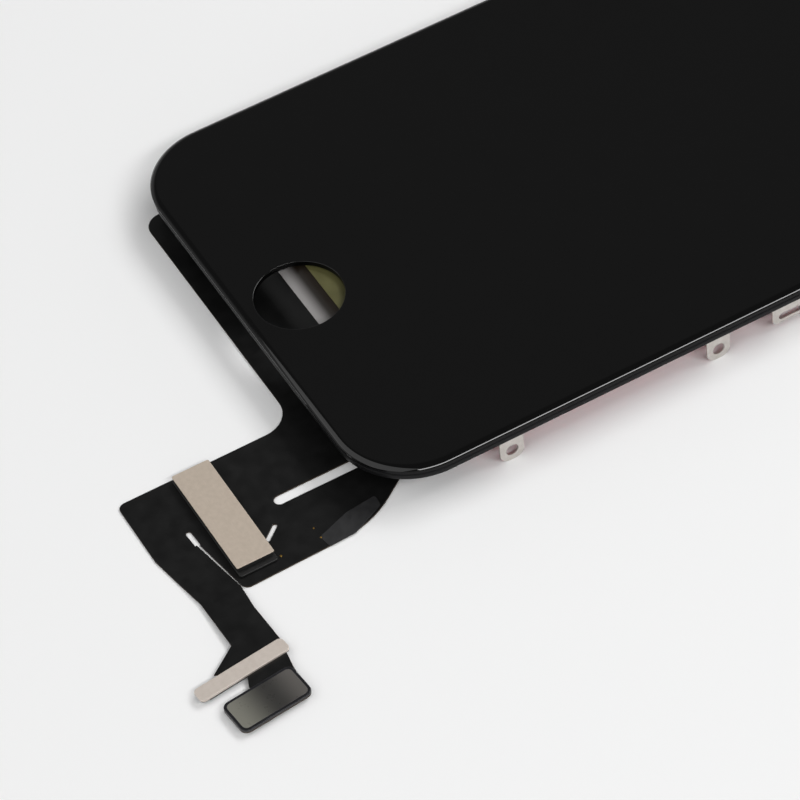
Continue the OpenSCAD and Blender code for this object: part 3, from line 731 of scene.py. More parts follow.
FINISHES: dict[str, Finish] = {
    # Polished aluminosilicate glass: a mirror over black ink, with clouds too weak to notice.
    "cover_glass": GlassFinish("inked cover glass", "0d0d0d", "0c0c0c", 4.0, rough=0.03,
                               swing=0.02, bump_mm=0.0, ior=1.51),
    # Cast acrylic: wet and clear at its cut edge.
    "clear_adhesive": Finish("clear acrylic adhesive", "dfe6e8", "d2dadd", 0.8, rough=0.15),
    # Stretched film: satin grey.
    "polarizer": Finish("polarizing film", "3a3d40", "2e3134", 0.4, rough=0.3),
    # Scribed and snapped glass: greenish at the edge.
    "cell_glass": Finish("thin cell glass", "7f918c", "6d807b", 1.2, rough=0.08, bump_mm=0.0),
    # Ground and polished die: dark, with a metallic sheen.
    "bare_silicon": Finish("polished silicon", "4a4c55", "3c3e48", 0.3, rough=0.12, ior=3.4),
    # Embossed film: its ribs are 0.05 mm apart, drawn at 0.3 mm so that they show.
    "prism_film": Finish("prism film", "d7dbe2", "bcc2cc", 0.3, Grain.RIBS, rough=0.2,
                         bump_mm=0.02),
    # Film coated with beads: dead white.
    "diffuser_film": Finish("diffuser film", "f1f1ee", "e6e6e2", 0.1, rough=0.7),
    # Moulded acrylic with printed dots 0.5 mm apart: clear, with a faint pattern.
    "light_guide": Finish("acrylic light guide", "dcebee", "cfe2e6", 0.5, Grain.CELLS, rough=0.1),
    # Pearl coated film: bright, with a soft sheen.
    "reflector_film": Finish("pearl reflector film", "f4f4f5", "e9e9ea", 0.6, rough=0.35),
    # Phosphor cast in silicone: yellow when unlit.
    "lamp_phosphor": Finish("white lamp with phosphor", "f0e6a8", "e4d070", 0.5, rough=0.5),
    # Polyimide circuit: amber, half gloss.
    "amber_film": Finish("amber polyimide", "b07a2c", "96621c", 0.6, rough=0.3),
    # Moulded polycarbonate: even white.
    "white_moulding": Finish("white polycarbonate moulding", "efefec", "e2e2de", 0.3, rough=0.45),
    # Rolled and pressed stainless steel: lines of 0.08 mm along the roll.
    "tray_steel": Finish("pressed tray steel", "c9c9ca", "b4b4b6", 0.08, Grain.BRUSHED_Y,
                         metallic=1.0, rough=0.3, swing=0.15, ior=None),
    # Tinted polyester: glossy red, with waves 5 mm long where it lies loose.
    "liner_film": Finish("red tinted liner film", "c8364a", "b02438", 5.0, rough=0.18, swing=0.12,
                         bump_mm=0.06, coat=0.3),
    # Foamed acrylic tape: matt, with cells of 0.2 mm.
    "black_adhesive": Finish("black foam adhesive", "242424", "181818", 0.2, rough=0.8),
    # Moulded nylon: satin black, its gloss broken by fibres of 0.12 mm.
    "frame_plastic": Finish("black glass-filled nylon", "161617", "0e0e0f", 0.12, rough=0.3,
                            swing=0.12, bump_mm=0.004, specular=0.14),
    # Blanked steel plated with nickel: warm satin, with rolling lines of 0.06 mm.
    "clip_steel": Finish("satin nickel-plated steel", "dedad6", "c8c3bd", 0.06, Grain.BRUSHED_Y,
                         metallic=0.75, rough=0.42, swing=0.16, bump_mm=0.003, ior=None),
    # Laminated polyimide: half gloss, with waves 1.6 mm long over the copper.
    # Its band under the button hole has a painted highlight, pale fading to brown.
    "black_coverlay": CoverlayFinish("black coverlay film", "141414", "0c0c0c", 1.6, rough=0.3,
                                     swing=0.12, bump_mm=0.01, ior=1.5, specular=0.35),
    # Polyimide tape: olive and slightly wavy.
    "olive_tape": Finish("olive polyimide tape", "605e38", "4c4a2c", 2.0, rough=0.35,
                         bump_mm=0.02),
    # Pressed glass laminate: matt, with threads of 0.15 mm.
    "black_stiffener": Finish("black laminate stiffener", "1d1d1d", "131313", 0.15, rough=0.4),
    # Transfer-moulded epoxy: dull, with the fine grit of its mould.
    "chip_resin": Finish("moulded chip resin", "2c2c2e", "202022", 0.06, rough=0.6),
    # Sliced foam: cut cells of 0.12 mm swallow the light.
    "black_foam": Finish("closed-cell black foam", "141414", "0a0a0a", 0.12, Grain.CELLS,
                         rough=0.9, bump_mm=0.03),
    # Rolled steel plated with nickel: warm satin, with lines of 0.05 mm.
    "plate_steel": Finish("satin shield plate steel", "d8cabb", "cabcac", 0.05, Grain.BRUSHED_X,
                          metallic=0.55, rough=0.5, swing=0.15, bump_mm=0.003, ior=None),
    # The same sheet from another roll: a little paler.
    "bar_steel": Finish("satin bar steel", "e2d8cf", "d5cac0", 0.05, Grain.BRUSHED_Y,
                        metallic=0.55, rough=0.5, swing=0.15, bump_mm=0.003, ior=None),
    # Moulded liquid-crystal polymer: satin, with flow marks of 0.08 mm.
    "socket_body": Finish("black liquid-crystal polymer", "262422", "1a1816", 0.08, rough=0.5),
    # Polyester film over a stiffener: a glossy black rim.
    "pad_film": Finish("glossy black stiffener film", "26262a", "1a1a1c", 0.6, rough=0.18,
                       swing=0.06, bump_mm=0.0),
    # The same film in grey, with a painted reflection: pale, nearly black, then mid grey along the
    # pad.
    "pad_painted_sheen": PadFinish("grey pad film with painted sheen", "7a7970", "363533", 0.8, rough=0.25, swing=0.1,
                           bump_mm=0.0),
    # Coverlay patch, greyer than the rest: a painted highlight on the trunk's margin.
    "painted_margin_highlight": Finish("coverlay patch with painted highlight", "2d2d2e", "202021", 0.7, rough=0.35,
                         bump_mm=0.02),
    # Woven steel wire: threads 0.18 mm apart with dark openings.
    "dust_mesh": Finish("woven steel dust mesh", "6c6c6e", "2a2a2c", 0.18, Grain.WEAVE,
                        metallic=1.0, rough=0.4, bump_mm=0.05, ior=None),
    # Moulded polycarbonate: satin black.
    "ring_plastic": Finish("moulded black ring plastic", "222224", "18181a", 0.1, rough=0.45),
    # Gold plated on copper: small bright lands.
    "contact_gold": Finish("gold-plated contact", "d9b262", "c79c48", 0.1, metallic=1.0,
                           rough=0.25, ior=None),
}


def dress(piece: bpy.types.Object, finish: str) -> None:
    """Puts a finish into every material slot of a piece.

    Args:
        piece: the piece to dress.
        finish: key of its finish.
    """
    made = FINISHES[finish].material()
    if not piece.data.materials:
        piece.data.materials.append(made)
    for entry in piece.material_slots:
        entry.material = made


def keep(node: str, finish: str) -> None:
    """Leaves a CAD node's own mesh in view and gives it its finish."""
    dress(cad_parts[node], finish)
    log.info("%s keeps its solid, in %s", node, FINISHES[finish].name)


def publish(piece: bpy.types.Object, finish: str, *nodes: str, slot: str | None = None) -> None:
    """Dresses a new piece, rides it on the body and lets it stand for its CAD nodes.

    Args:
        piece: the new piece.
        finish: key of its finish.
        nodes: CAD nodes that it replaces.
        slot: not used.
    """
    dress(piece, finish)
    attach(piece, "root")
    if nodes:
        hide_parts(*nodes)
    log.info("%s: %d faces, %s", piece.name, len(piece.data.polygons), FINISHES[finish].name)


# ---------------------------------------------------------------- sub-assemblies


@dataclass
class CoverGlass:
    """Cover glass with a rounded band, the button hole and the earpiece slot."""

    corner_r: float = 9.6
    band: float = 0.9
    drop: float = 0.42
    back_bevel: float = 0.1
    rim_r: tuple[float, float] = (0.08, 0.06)
    button_d: float = 10.8
    button_inset: float = 7.3
    slot_l: float = 10.4
    slot_w: float = 1.3
    slot_inset: float = 7.0

    def band_profile(self, thickness: float) -> Array:
        """Side of the glass: an arc that leaves the face level and falls by drop over band.

        The arc's radius is the band over the sine of twice the angle whose tangent is drop over
        band; the inset is what the arc's sine leaves of the band, and the height its versine.

        Args:
            thickness: thickness of the glass.

        Returns:
            Rows of inset and height, from the top down.
        """
        half = math.atan2(self.drop, self.band)
        radius = self.band / math.sin(2 * half)
        angle = np.linspace(0, 2 * half, 17)
        arc = np.stack([self.band - radius * np.sin(angle), radius * (np.cos(angle) - 1)], -1)
        guard = [[self.band + more, 0.0] for more in (0.5, 0.2)]
        back = [[0.0, -thickness + self.back_bevel], [self.back_bevel, -thickness],
                [self.back_bevel + 0.3, -thickness]]
        return np.concatenate([guard, arc, back])

    def build(self) -> None:
        """Builds the glass in place of its CAD solid."""
        low, high = box_mm("cover_glass")
        thickness = high[2] - low[2]
        outline = rounded_box(high[0] - low[0], high[1] - low[1], self.corner_r, 28)
        holes = [
            circle(0, low[1] + self.button_inset, self.button_d / 2, 128),
            slot_path(self.slot_l, self.slot_w) + [0, high[1] - self.slot_inset],
        ]
        rim = edge_profile(0, -thickness, *self.rim_r, 5)
        publish(plate("glass_panel", [outline], self.band_profile(thickness), holes, rim),
                "cover_glass", "cover_glass")


@dataclass
class BezelFrame:
    """Moulded frame behind the glass: land, outer wall with its shoulder, and button collar."""

    corner_r: float = 9.42
    shoulder_h: float = 0.45
    shoulder_in: float = 0.1
    lip_r: float = 0.1
    shoulder_r: float = 0.14
    foot_r: float = 0.12
    edge_r: float = 0.05
    wall: float = 0.85
    land: float = 0.6
    end_bar: float = 1.5
    bond_half: float = 26.0
    corner_cut: float = 1.4
    gap: float = 0.2
    collar_in: float = 6.0
    collar_out: float = 6.8
    collar_top: float = 8.7
    button_inset: float = 7.3
    window: tuple[float, float, float, float] = (16.0, 11.6, 2.25, 0.4)

    def opening(self, near: float, cell_near: float, cell_far: float, half: float) -> Array:
        """Outline of the main opening, with the collar's two arms standing into it.

        Args:
            near: the glass's button end along Y.
            cell_near: near side of the cell's recess.
            cell_far: far side of the recess.
            half: half the recess's width.

        Returns:
            Points of the outline, counter-clockwise.
        """
        y = near + self.button_inset
        rise = self.collar_top - self.button_inset
        foot = self.end_bar - self.button_inset

        def angle(r: float, height: float) -> float:
            """Angle in degrees at which a circle of radius r reaches a height."""
            return math.degrees(math.asin(height / r))

        out_low, out_top = angle(self.collar_out, foot), angle(self.collar_out, rise)
        in_top = angle(self.collar_in, rise)
        arms = [
            arc_path(0, y, self.collar_out, -180 - out_low, -180 - out_top),
            arc_path(0, y, self.collar_in, -180 - in_top, in_top, 64),
            arc_path(0, y, self.collar_out, out_top, out_low),
        ]
        low, side, cut = near + self.end_bar, self.bond_half, self.corner_cut
        start = [[-side, low + cut / 2], [cut - side, low]]
        rest = [[side - cut, low], [side, low + cut / 2], [side, cell_near], [half, cell_near],
                [half, cell_far], [-half, cell_far], [-half, cell_near], [-side, cell_near]]
        return np.concatenate([start, *arms, rest])

    def build(self) -> None:
        """Builds the frame in place of its CAD solid."""
        low, high = box_mm("bezel_frame")
        tray_high = box_mm("backlight_tray")[1]
        cell_low = box_mm("tft_glass")[0]
        top, bottom, land_low = high[2], low[2], high[2] - self.land
        width, length = high[:2] - low[:2]
        outline = rounded_box(width, length, self.corner_r, 24)
        inner = rounded_box(width - 2 * self.wall, length - 2 * self.wall,
                            self.corner_r - self.wall, 24)[::-1]
        glass_low, glass_high = box_mm("cover_glass")
        opening = self.opening(glass_low[1], cell_low[1] - self.gap, tray_high[1] + self.gap,
                               tray_high[0] + self.gap)[::-1]
        half, below, above, r = self.window
        y_low, y_high = glass_high[1] - below, glass_high[1] - above
        window = round_path([(-half, y_low, r), (half, y_low, r), (half, y_high, r),
                             (-half, y_high, r)], 6)[::-1]
        shell = Shell()
        outer = shell.strip(outline, self.wall_profile(top, bottom))
        wall_in = shell.strip(inner, np.array([[0.0, land_low], [0.0, bottom + 0.08],
                                               [0.03, bottom + 0.03], [0.08, bottom]]))
        r = self.edge_r
        edge = np.array([[r, top], [0.0, top - r], [0.0, land_low + r], [r, land_low]])
        holes = [shell.strip(opening, edge), shell.strip(window, edge)]
        shell.cap([outer[0], holes[0][0], holes[1][0]], True)
        shell.cap([wall_in[0], holes[0][-1], holes[1][-1]], False)
        shell.cap([outer[-1], wall_in[-1]], False)
        publish(shell.piece("bezel_moulding"), "frame_plastic", "bezel_frame")

    def wall_profile(self, top: float, bottom: float) -> Array:
        """Outer side: a rounded lip, a recessed upper part, and a rounded shoulder and foot.

        Each rounding goes in by one less the sine and down by one less the cosine, times its size.

        Args:
            top: height of the frame's upper face.
            bottom: height of its lower face.

        Returns:
            Rows of inset and height, from the top down.
        """
        shoulder, inset = top - self.shoulder_h, self.shoulder_in
        angle = np.linspace(0, np.pi / 2, 6)
        across, down = 1 - np.sin(angle), 1 - np.cos(angle)
        lip = np.stack([inset + self.lip_r * across, top - self.lip_r * down], -1)
        round_out = np.stack([inset * across, shoulder - self.shoulder_r * down], -1)
        foot = np.stack([self.foot_r * across, bottom + self.foot_r * down], -1)
        return np.concatenate([[[inset + 2 * self.lip_r, top]], lip, round_out, foot[::-1]])


@dataclass
class Clips:
    """Insert clips of sheet steel: four round-hole and two slotted ones on each long side."""

    plane: tuple[float, float] = (31.15, 31.45)
    root_z: float = -1.5
    low_z: float = -5.4
    tab_w: float = 3.1
    tab_r: float = 1.2
    hole_d: float = 1.6
    hole_up: float = 1.55
    tab_y: tuple[float, float] = (49.953, 22.353)
    slot_clip_l: float = 12.0
    slot_clip_low: float = -4.5
    slot_r: float = 0.7
    slot_h: float = 1.0
    slot_margin: float = 0.85
    slot_sill: float = 0.45
    slot_y: float = 8.951

    def tab(self, y: float, width: float, low: float, r: float) -> Array:
        """Outline of a clip in the plane of the side: square at the root, round at the foot."""
        return round_path([(y - width / 2, low, r), (y + width / 2, low, r),
                           (y + width / 2, self.root_z, 0), (y - width / 2, self.root_z, 0)], 10)

    def stand(self, side: int) -> Callable[[Array], Array]:
        """Function that turns a flat clip upright: plan becomes length and height."""
        shift = self.plane[0] if side > 0 else -self.plane[1]
        return lambda p: np.stack([p[:, 2] + shift, p[:, 0], p[:, 1]], -1)

    def build(self) -> None:
        """Builds the four groups of clips in place of their CAD solids."""
        profile = edge_profile(self.plane[1] - self.plane[0], 0, 0.05, 0.05, 3)
        middle = self.slot_clip_low + self.slot_sill + self.slot_h / 2
        slot = slot_path(self.slot_clip_l - 2 * self.slot_margin, self.slot_h)
        round_at = [sign * y for y in self.tab_y for sign in (-1, 1)]
        groups = (
            ("round_clip_set", "round_clips",
             [self.tab(y, self.tab_w, self.low_z, self.tab_r) for y in round_at],
             [circle(y, self.low_z + self.hole_up, self.hole_d / 2, 40) for y in round_at]),
            ("slotted_clip_set", "slotted_clips",
             [self.tab(sign * self.slot_y, self.slot_clip_l, self.slot_clip_low, self.slot_r)
              for sign in (-1, 1)],
             [slot + [sign * self.slot_y, middle] for sign in (-1, 1)]),
        )
        for side, word in ((1, "right"), (-1, "left")):
            for name, node, outers, holes in groups:
                made = plate(f"{name}_{word}", outers, profile, holes, None, self.stand(side))
                publish(made, "clip_steel", f"{node}_{word}")


@dataclass
class FlexCircuit:
    """Flexible circuit: wide head under the end of the glass, trunk, flap, raised tail and seats.

    Attributes:
        corners: plan corners as x, distance in from the glass's button end, and radius.
        slot: middle, length and width of the long slot between the trunk and the flap.
        cut: middle, length, width and turn in degrees of the short cut beside the plate.
        tail_x: where the tail becomes the link.
        tail_top: start, height and slope of the line that the tail lies beyond.
        link_top: line that the link lies beyond.
        free_y: part of the trunk that lies loose.
        free_x: part of the link that lies loose.
        wave: height of the loose film's waves, and their rates along x and y.
        patch: corners of the patch with a painted highlight on the trunk's margin.
        patch_h: height of that patch.
        lands: middle and radius of each test land.
        land_h: height of a land.
    """

    low_z: float = -5.4
    bond_z: float = -1.12
    thick: float = 0.2
    bend_foot: float = 4.7
    bend_top: float = 10.3
    rise: float = 0.45
    rise_from: float = 25.0
    rise_to: float = 39.0
    corners: tuple[Corner, ...] = (
        (-26.2, -0.95, 2.2), (12.7, -0.95, 3.6), (12.7, -23.85, 0.9), (22.4, -23.85, 0),
        (30.7, -22.4, 3), (38.0, -22.3, 0), (40.55, -25.8, 0), (41.02, -24.86, 0),
        (41.478, -28.764, 0.5), (43.267, -28.569, 0.5), (42.62, -22.75, 0), (44.05, -23.3, 0.5),
        (44.52, -23.33, 0), (44.872, -27.207, 0.9), (49.6, -26.751, 0.9), (48.728, -17.693, 0.9),
        (45.8, -17.97, 0), (44.15, -17.9, 0), (42.045, -17.59, 0), (42.024, -17.137, 0.3),
        (40.3, -17.31, 0), (34.5, -17.6, 6), (30.9, -17.4, 3), (22.9, -18.8, 0),
        (22.88, -19.03, 0), (20.6, -19.15, 0.3), (20.57, -18.53, 0.3), (22.85, -18.41, 0),
        (23.1, -18.51, 0), (31.45, -17.15, 1), (31.1, -0.8, 14), (25.2, 7.6, 1),
        (25.2, 13.4, 0), (-25.2, 13.4, 0), (-25.2, 7.6, 1), (-26.2, 5.0, 1),
    )
    slot: tuple[float, float, float, float] = (22.15, -2.625, 11.75, 1.4)
    cut: tuple[float, float, float, float, float] = (25.9, -10.9, 2.6, 0.55, -50)
    tail_x: float = 31.6
    tail_top: tuple[float, float, float] = (22.1, -18.88, 0.18)
    link_top: float = -10.0
    free_y: tuple[float, float] = (-11.0, -1.0)
    free_x: tuple[float, float] = (31.6, 38.0)
    wave: tuple[float, float, float] = (0.05, 0.9, 0.45)
    patch: tuple[Corner, ...] = (
        (29.5, -6.6, 0.2), (31.3, -6.3, 0.3), (31.2, -2.9, 1), (29.2, 1.4, 0.3),
        (27.6, 1.5, 0.3), (28.0, -2.4, 1),
    )
    patch_h: float = 0.05
    lands: tuple[Corner, ...] = (
        (29.5, -11.6, 0.14), (29.63, -6.55, 0.12), (28.0, -6.6, 0.1), (25.3, -12.4, 0.1),
    )
    land_h: float = 0.06

    @staticmethod
    def ease(a: float, b: float, s: Array) -> tuple[Array, Array]:
        """Smooth step from 0 at a to 1 at b, three squares less two cubes, and its slope."""
        u = np.clip((s - a) / (b - a), 0, 1)
        return u * u * (3 - 2 * u), 6 * u * (1 - u) / (b - a)

    def lay(self, near: float) -> Callable[[Array], Array]:
        """Function that lays the flat sheet: up the bend under the glass, and up the tail.

        The sheet's lower face follows the smooth step along Y at the bend, and a point at height
        t above it lies t along the face's normal. The tail rises by a smooth step along X. Loose
        film also waves by the square of a sine along each axis.

        Args:
            near: the glass's button end along Y.

        Returns:
            The function, which takes flat points to their place.
        """

        def laid(p: Array) -> Array:
            """Takes flat points to their place, as the formula above says."""
            x, y, t = p[:, 0], p[:, 1], p[:, 2]
            step, slope = self.ease(near + self.bend_foot, near + self.bend_top, y)
            slope = slope * (self.bond_z - self.low_z)
            length = np.sqrt(1 + slope**2)
            end = y - near
            start, top, rate = self.tail_top
            edge = np.where(x < self.tail_x, top + rate * (x - start), self.link_top)
            tail = (end < edge) & (end < self.link_top)
            up, _ = self.ease(self.rise_from, self.rise_to, x)
            high, fast_x, fast_y = self.wave
            wave = high * (np.sin(x * fast_x + 0.4) * np.sin((end + 2) * fast_y)) ** 2
            free = ((end > self.free_y[0]) & (end < self.free_y[1])
                    | (x > self.free_x[0]) & (x < self.free_x[1]))
            z = self.low_z + step * (self.bond_z - self.low_z) + np.where(tail, up * self.rise, 0)
            z += t / length + np.where(free, wave, 0)
            return np.stack([x, y - slope / length * t, z], -1)

        return laid

    def build(self) -> None:
        """Builds the circuit in place of its CAD solid."""
        near = box_mm("cover_glass")[0][1]
        outline = resample(round_path(self.corners), 0.6) + [0, near]
        x, y, length, width = self.slot
        cut_x, cut_y, cut_length, cut_width, turn = self.cut
        holes = [resample(turned(slot_path(length, width), x, near + y, 90), 0.6),
                 turned(slot_path(cut_length, cut_width), cut_x, near + cut_y, turn)]
        profile = edge_profile(self.thick, 0, 0.04, 0.04, 2)
        made = plate("flexible_circuit", [outline], profile, holes, None, self.lay(near), 0.5)
        publish(made, "black_coverlay", "display_flex")
        self.build_marks(near)

    def build_marks(self, near: float) -> None:
        """Adds a patch with a painted highlight near the trunk's right edge, and the small test
        lands.

        Args:
            near: the glass's button end along Y.
        """
        top = self.low_z + self.thick
        # The patch is painted greyer than the film: a painted highlight on the trunk's margin.
        patch = round_path(self.patch) + [0, near]
        film = edge_profile(top + self.patch_h, top - 0.02, 0.02, 0.01, 2)
        publish(plate("trunk_margin_highlight", [patch], film), "painted_margin_highlight", slot="black_coverlay")
        lands = [circle(x, near + y, r, 16) for x, y, r in self.lands]
        metal = edge_profile(top + self.land_h, top, 0.01, 0.01, 1)
        publish(plate("test_lands", lands, metal), "contact_gold", slot="black_coverlay")


@dataclass
class ShieldedChip:
    """Steel plate over the touch chip, with its foam gasket and the stiffener below."""

    plate_r: float = 0.2
    plate_edge: float = 0.05
    board_r: float = 0.3
    board_edge: float = 0.08
    gasket_wall: float = 0.7
    gasket_in: float = 0.06

    @staticmethod
    def sheet(name: str, node: str, r: float, edge: float, inset: float = 0.0,
              wall: float = 0.0) -> bpy.types.Object:
        """Rounded rectangle over a CAD node's box.

        Args:
            name: the object's name.
            node: CAD node whose box it fills.
            r: radius of its corners.
            edge: radius of its edges.
            inset: total amount by which it is narrower than the box.
            wall: width of its wall, or 0 for a closed sheet.

        Returns:
            The new object.
        """
        low, high = box_mm(node)
        middle, size = (low + high)[:2] / 2, high - low
        outline = rounded_box(size[0] - inset, size[1] - inset, r) + middle
        holes = [rounded_box(size[0] - 2 * wall, size[1] - 2 * wall, r) + middle] if wall else []
        return plate(name, [outline], edge_profile(high[2], low[2], edge, edge), holes)

    def build(self) -> None:
        """Builds the plate, gasket and stiffener in place of their CAD solids."""
        for node, finish, r, edge in (
            ("chip_stiffener", "black_stiffener", self.board_r, self.board_edge),
            ("shield_plate", "plate_steel", self.plate_r, self.plate_edge),
        ):
            publish(self.sheet(f"{node}_sheet", node, r, edge), finish, node)
        publish(self.sheet("gasket_foam", "shield_gasket", self.board_r, self.gasket_in,
                           self.gasket_in, self.gasket_wall), "black_foam", "shield_gasket")
        keep("touch_chip", "chip_resin")


@dataclass
class Connectors:
    """Tail end: steel bar and black pad, each above a press-on connector with gold contacts."""

    bar: tuple[float, float, float] = (41.75, -22.95, 6.2)
    pad: tuple[float, float, float] = (46.8, -22.45, 5.5)
    bar_size: tuple[float, float, float] = (2.0, 11.7, 0.6)
    pad_size: tuple[float, float, float] = (4.75, 9.1, 0.9)
    bar_plug: tuple[float, float] = (1.3, 9.4)
    pad_plug: tuple[float, float] = (2.2, 7.2)
    pitch: float = 0.35
    land: tuple[float, float, float] = (0.3, 0.18, 0.03)
    land_in: float = 0.2
    row_margin: float = 1.4
    rim: float = 0.35
    face_r: float = 0.6

    def contacts(self, name: str, place: tuple[float, float, float], size: tuple[float, float],
                 near: float, low: float) -> bpy.types.Object:
        """Two rows of flat contacts on the underside of a connector's walls.

        Args:
            name: the object's name.
            place: middle and turn of the connector.
            size: width and length of the connector.
            near: the glass's button end along Y.
            low: height of the connector's lower face.

        Returns:
            The new object.
        """
        count = int((size[1] - self.row_margin) / self.pitch)
        along = (np.arange(count) - (count - 1) / 2) * self.pitch
        lands = [rounded_box(*self.land, 1) + [side * (size[0] / 2 - self.land_in), y]
                 for side in (-1, 1) for y in along]
        outers = [turned(land, place[0], near + place[1], place[2]) for land in lands]
        return plate(name, outers, edge_profile(low + 0.06, low + 0.004, 0.01, 0.01, 1))

    def build(self) -> None:
        """Builds the bar, the pad and their connectors."""
        near = box_mm("cover_glass")[0][1]
        for word, place, size, plug, finish, r in (
            ("bar", self.bar, self.bar_size, self.bar_plug, "bar_steel", 0.06),
            ("pad", self.pad, self.pad_size, self.pad_plug, "pad_film", 0.1),
        ):
            at = place[0], near + place[1], place[2]
            low, high = box_mm(f"{word}_stiffener")
            edge = edge_profile(high[2], low[2], r, 0.04, 5)
            cap = plate(f"{word}_cap", [turned(rounded_box(*size), *at)], edge, spacing=0.8)
            publish(cap, finish, f"{word}_stiffener")
            keep(f"{word}_connector", "socket_body")
            if word == "pad":
                face = rounded_box(size[0] - 2 * self.rim, size[1] - 2 * self.rim, self.face_r)
                film = edge_profile(high[2] + 0.012, high[2] - 0.02, 0.01, 0.005, 1)
                publish(plate("pad_face", [turned(face, *at)], film), "pad_painted_sheen", slot="pad_film")
            rest = box_mm(f"{word}_connector")[0][2]
            made = self.contacts(f"{word}_contacts", place, plug, near, rest)
            publish(made, "contact_gold", slot="socket_body")


@dataclass
class FarEnd:
    """Rings and dust mesh behind the far end of the glass."""

    camera_bore: float = 4.2
    sensor_bore: float = 1.7

    def build(self) -> None:
        """Builds the rings with rounded rims and dresses the mesh."""
        for node, bore in (("camera_ring", self.camera_bore), ("sensor_ring", self.sensor_bore)):
            low, high = box_mm(node)
            x, y = (low + high)[:2] / 2
            made = plate(f"{node}_moulding", [circle(x, y, (high[0] - low[0]) / 2)],
                         edge_profile(high[2], low[2], 0.04, 0.12), [circle(x, y, bore / 2)])
            publish(made, "ring_plastic", node)
        keep("earpiece_mesh", "dust_mesh")


@dataclass
class Layers:
    """Display cell, backlight and bonds, whose solids already have their real shape."""

    finishes: dict[str, str] = field(default_factory=lambda: {
        "optical_adhesive": "clear_adhesive", "front_polarizer": "polarizer",
        "colour_filter_glass": "cell_glass", "tft_glass": "cell_glass",
        "rear_polarizer": "polarizer", "driver_chip": "bare_silicon",
        "upper_prism_film": "prism_film", "lower_prism_film": "prism_film",
        "diffuser_film": "diffuser_film", "light_guide": "light_guide",
        "reflector_film": "reflector_film", "backlight_lamps": "lamp_phosphor",
        "lamp_circuit": "amber_film", "backlight_moulding": "white_moulding",
        "backlight_tray": "tray_steel", "rear_liner_film": "liner_film",
        "frame_adhesive": "black_adhesive", "bond_tape": "olive_tape",
    })

    def build(self) -> None:
        """Dresses each layer."""
        for node, finish in self.finishes.items():
            keep(node, finish)


# ---------------------------------------------------------------- studio


@dataclass(frozen=True)
class SoftBox:
    """Rectangular soft light that faces the part.

    Attributes:
        name: the lamp's name.
        towards: direction from the part to the lamp.
        distance: distance of the lamp in metres.
        size: width, level with the floor, and height in metres.
        radiance: brightness of its face.
    """

    name: str
    towards: tuple[float, float, float]
    distance: float
    size: tuple[float, float]
    radiance: float

    def build(self) -> None:
        """Adds the lamp; its power is its radiance times pi times its area."""
        data = bpy.data.lights.new(self.name, "AREA")
        data.shape, data.size, data.size_y = "RECTANGLE", *self.size
        data.energy = self.radiance * math.pi * self.size[0] * self.size[1]
        lamp = bpy.data.objects.new(self.name, data)
        way = Vector(self.towards).normalized()
        lamp.location = way * self.distance
        lamp.rotation_mode = "QUATERNION"
        lamp.rotation_quaternion = way.to_track_quat("Z", "Y")
        bpy.context.scene.collection.objects.link(lamp)


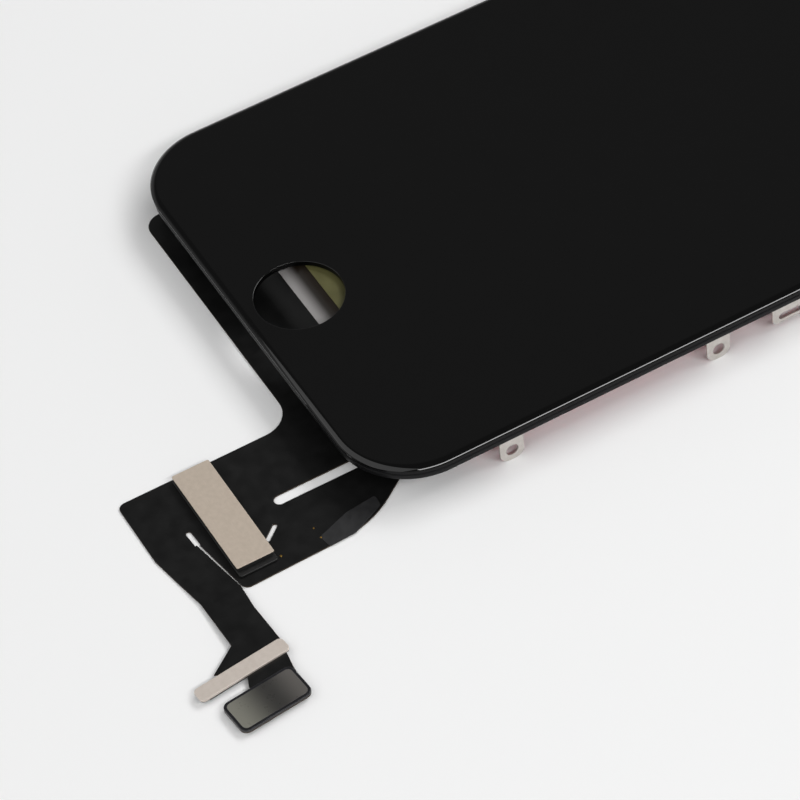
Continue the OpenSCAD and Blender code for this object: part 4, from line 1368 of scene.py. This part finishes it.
@dataclass
class Studio:
    """Pale floor, soft light and the camera at the photograph's viewpoint."""

    camera_at: tuple[float, float, float] = (0.28545759, -0.17478293, 0.32156816)
    camera_turn: tuple[float, float, float, float] = (
        0.81386716, 0.28634919, 0.2148511, 0.45767171)
    lens: float = 171.5313
    floor_colour: str = "f6f6f6"
    floor_half: float = 3.0
    floor_gap: float = 0.00001
    walls: float = 0.42
    ceiling: float = 0.1
    wall_top: tuple[float, float] = (0.3, 0.6)
    boxes: tuple[SoftBox, ...] = (
        SoftBox("front_box", (0.0, -0.66, 0.75), 1.2, (1.9, 1.0), 0.95),
        SoftBox("back_box", (-0.08, 0.65, 0.755), 1.2, (1.0, 0.45), 5.0),
        SoftBox("side_strip", (0.73, 0.06, 0.68), 1.1, (0.95, 0.17), 10.5),
    )

    def build_camera(self) -> None:
        """Adds the camera, with the image taken as square."""
        data = bpy.data.cameras.new("camera")
        data.lens, data.sensor_width = self.lens, 36.0
        data.clip_start, data.clip_end = 0.01, 20.0
        camera = bpy.data.objects.new("camera", data)
        camera.location = self.camera_at
        camera.rotation_mode = "QUATERNION"
        camera.rotation_quaternion = Quaternion(self.camera_turn)
        bpy.context.scene.collection.objects.link(camera)
        bpy.context.scene.camera = camera

    def build_floor(self, level: float) -> None:
        """Adds the floor just under the part.

        Args:
            level: height of the part's lowest point, metres.
        """
        half, z = self.floor_half, level - self.floor_gap
        mesh = bpy.data.meshes.new("floor")
        mesh.from_pydata([(-half, -half, z), (half, -half, z), (half, half, z), (-half, half, z)],
                         [], [(0, 1, 2, 3)])
        floor = bpy.data.objects.new("floor", mesh)
        bpy.context.scene.collection.objects.link(floor)
        paper = bpy.data.materials.new("floor paper")
        paper.use_nodes = True
        shader = paper.node_tree.nodes["Principled BSDF"]
        shader.inputs["Base Color"].default_value = linear(self.floor_colour)
        shader.inputs["Roughness"].default_value = 0.9
        shader.inputs["Specular IOR Level"].default_value = 0.1
        mesh.materials.append(paper)

    def build_world(self) -> None:
        """Adds the room: grey walls up to about 30 degrees, and a dark ceiling above them."""
        world = bpy.data.worlds.new("room")
        bpy.context.scene.world = world
        world.use_nodes = True
        tree = world.node_tree
        tree.nodes.clear()
        way = add_node(tree, "ShaderNodeTexCoord").outputs["Generated"]
        up = add_node(tree, "ShaderNodeSeparateXYZ", None, {0: way}).outputs[2]
        share = add_node(tree, "ShaderNodeMapRange", {"interpolation_type": "SMOOTHSTEP"},
                         {"Value": up, 1: self.wall_top[0], 2: self.wall_top[1]})
        walls, ceiling = ((level, level, level, 1) for level in (self.walls, self.ceiling))
        colour = Finish.mix(tree, share.outputs[0], walls, ceiling)
        light = add_node(tree, "ShaderNodeBackground", None, {"Color": colour})
        add_node(tree, "ShaderNodeOutputWorld", None, {"Surface": light.outputs[0]})

    def build(self, level: float) -> None:
        """Builds the whole studio on a floor at the given height in metres.

        Args:
            level: height of the part's lowest point, metres.
        """
        self.build_camera()
        self.build_floor(level)
        for box in self.boxes:
            box.build()
        self.build_world()
        bpy.context.scene.view_settings.view_transform = "Standard"


def main() -> None:
    """Builds the studio and every sub-assembly."""
    logging.basicConfig(level=logging.INFO, format="%(name)s: %(message)s")
    Studio().build(CAD_BOUNDS[0][2])
    for part in (Layers(), CoverGlass(), BezelFrame(), Clips(), FlexCircuit(), ShieldedChip(),
                 Connectors(), FarEnd()):
        part.build()
        log.info("%s is built", type(part).__name__)


if __name__ == "__main__":
    main()
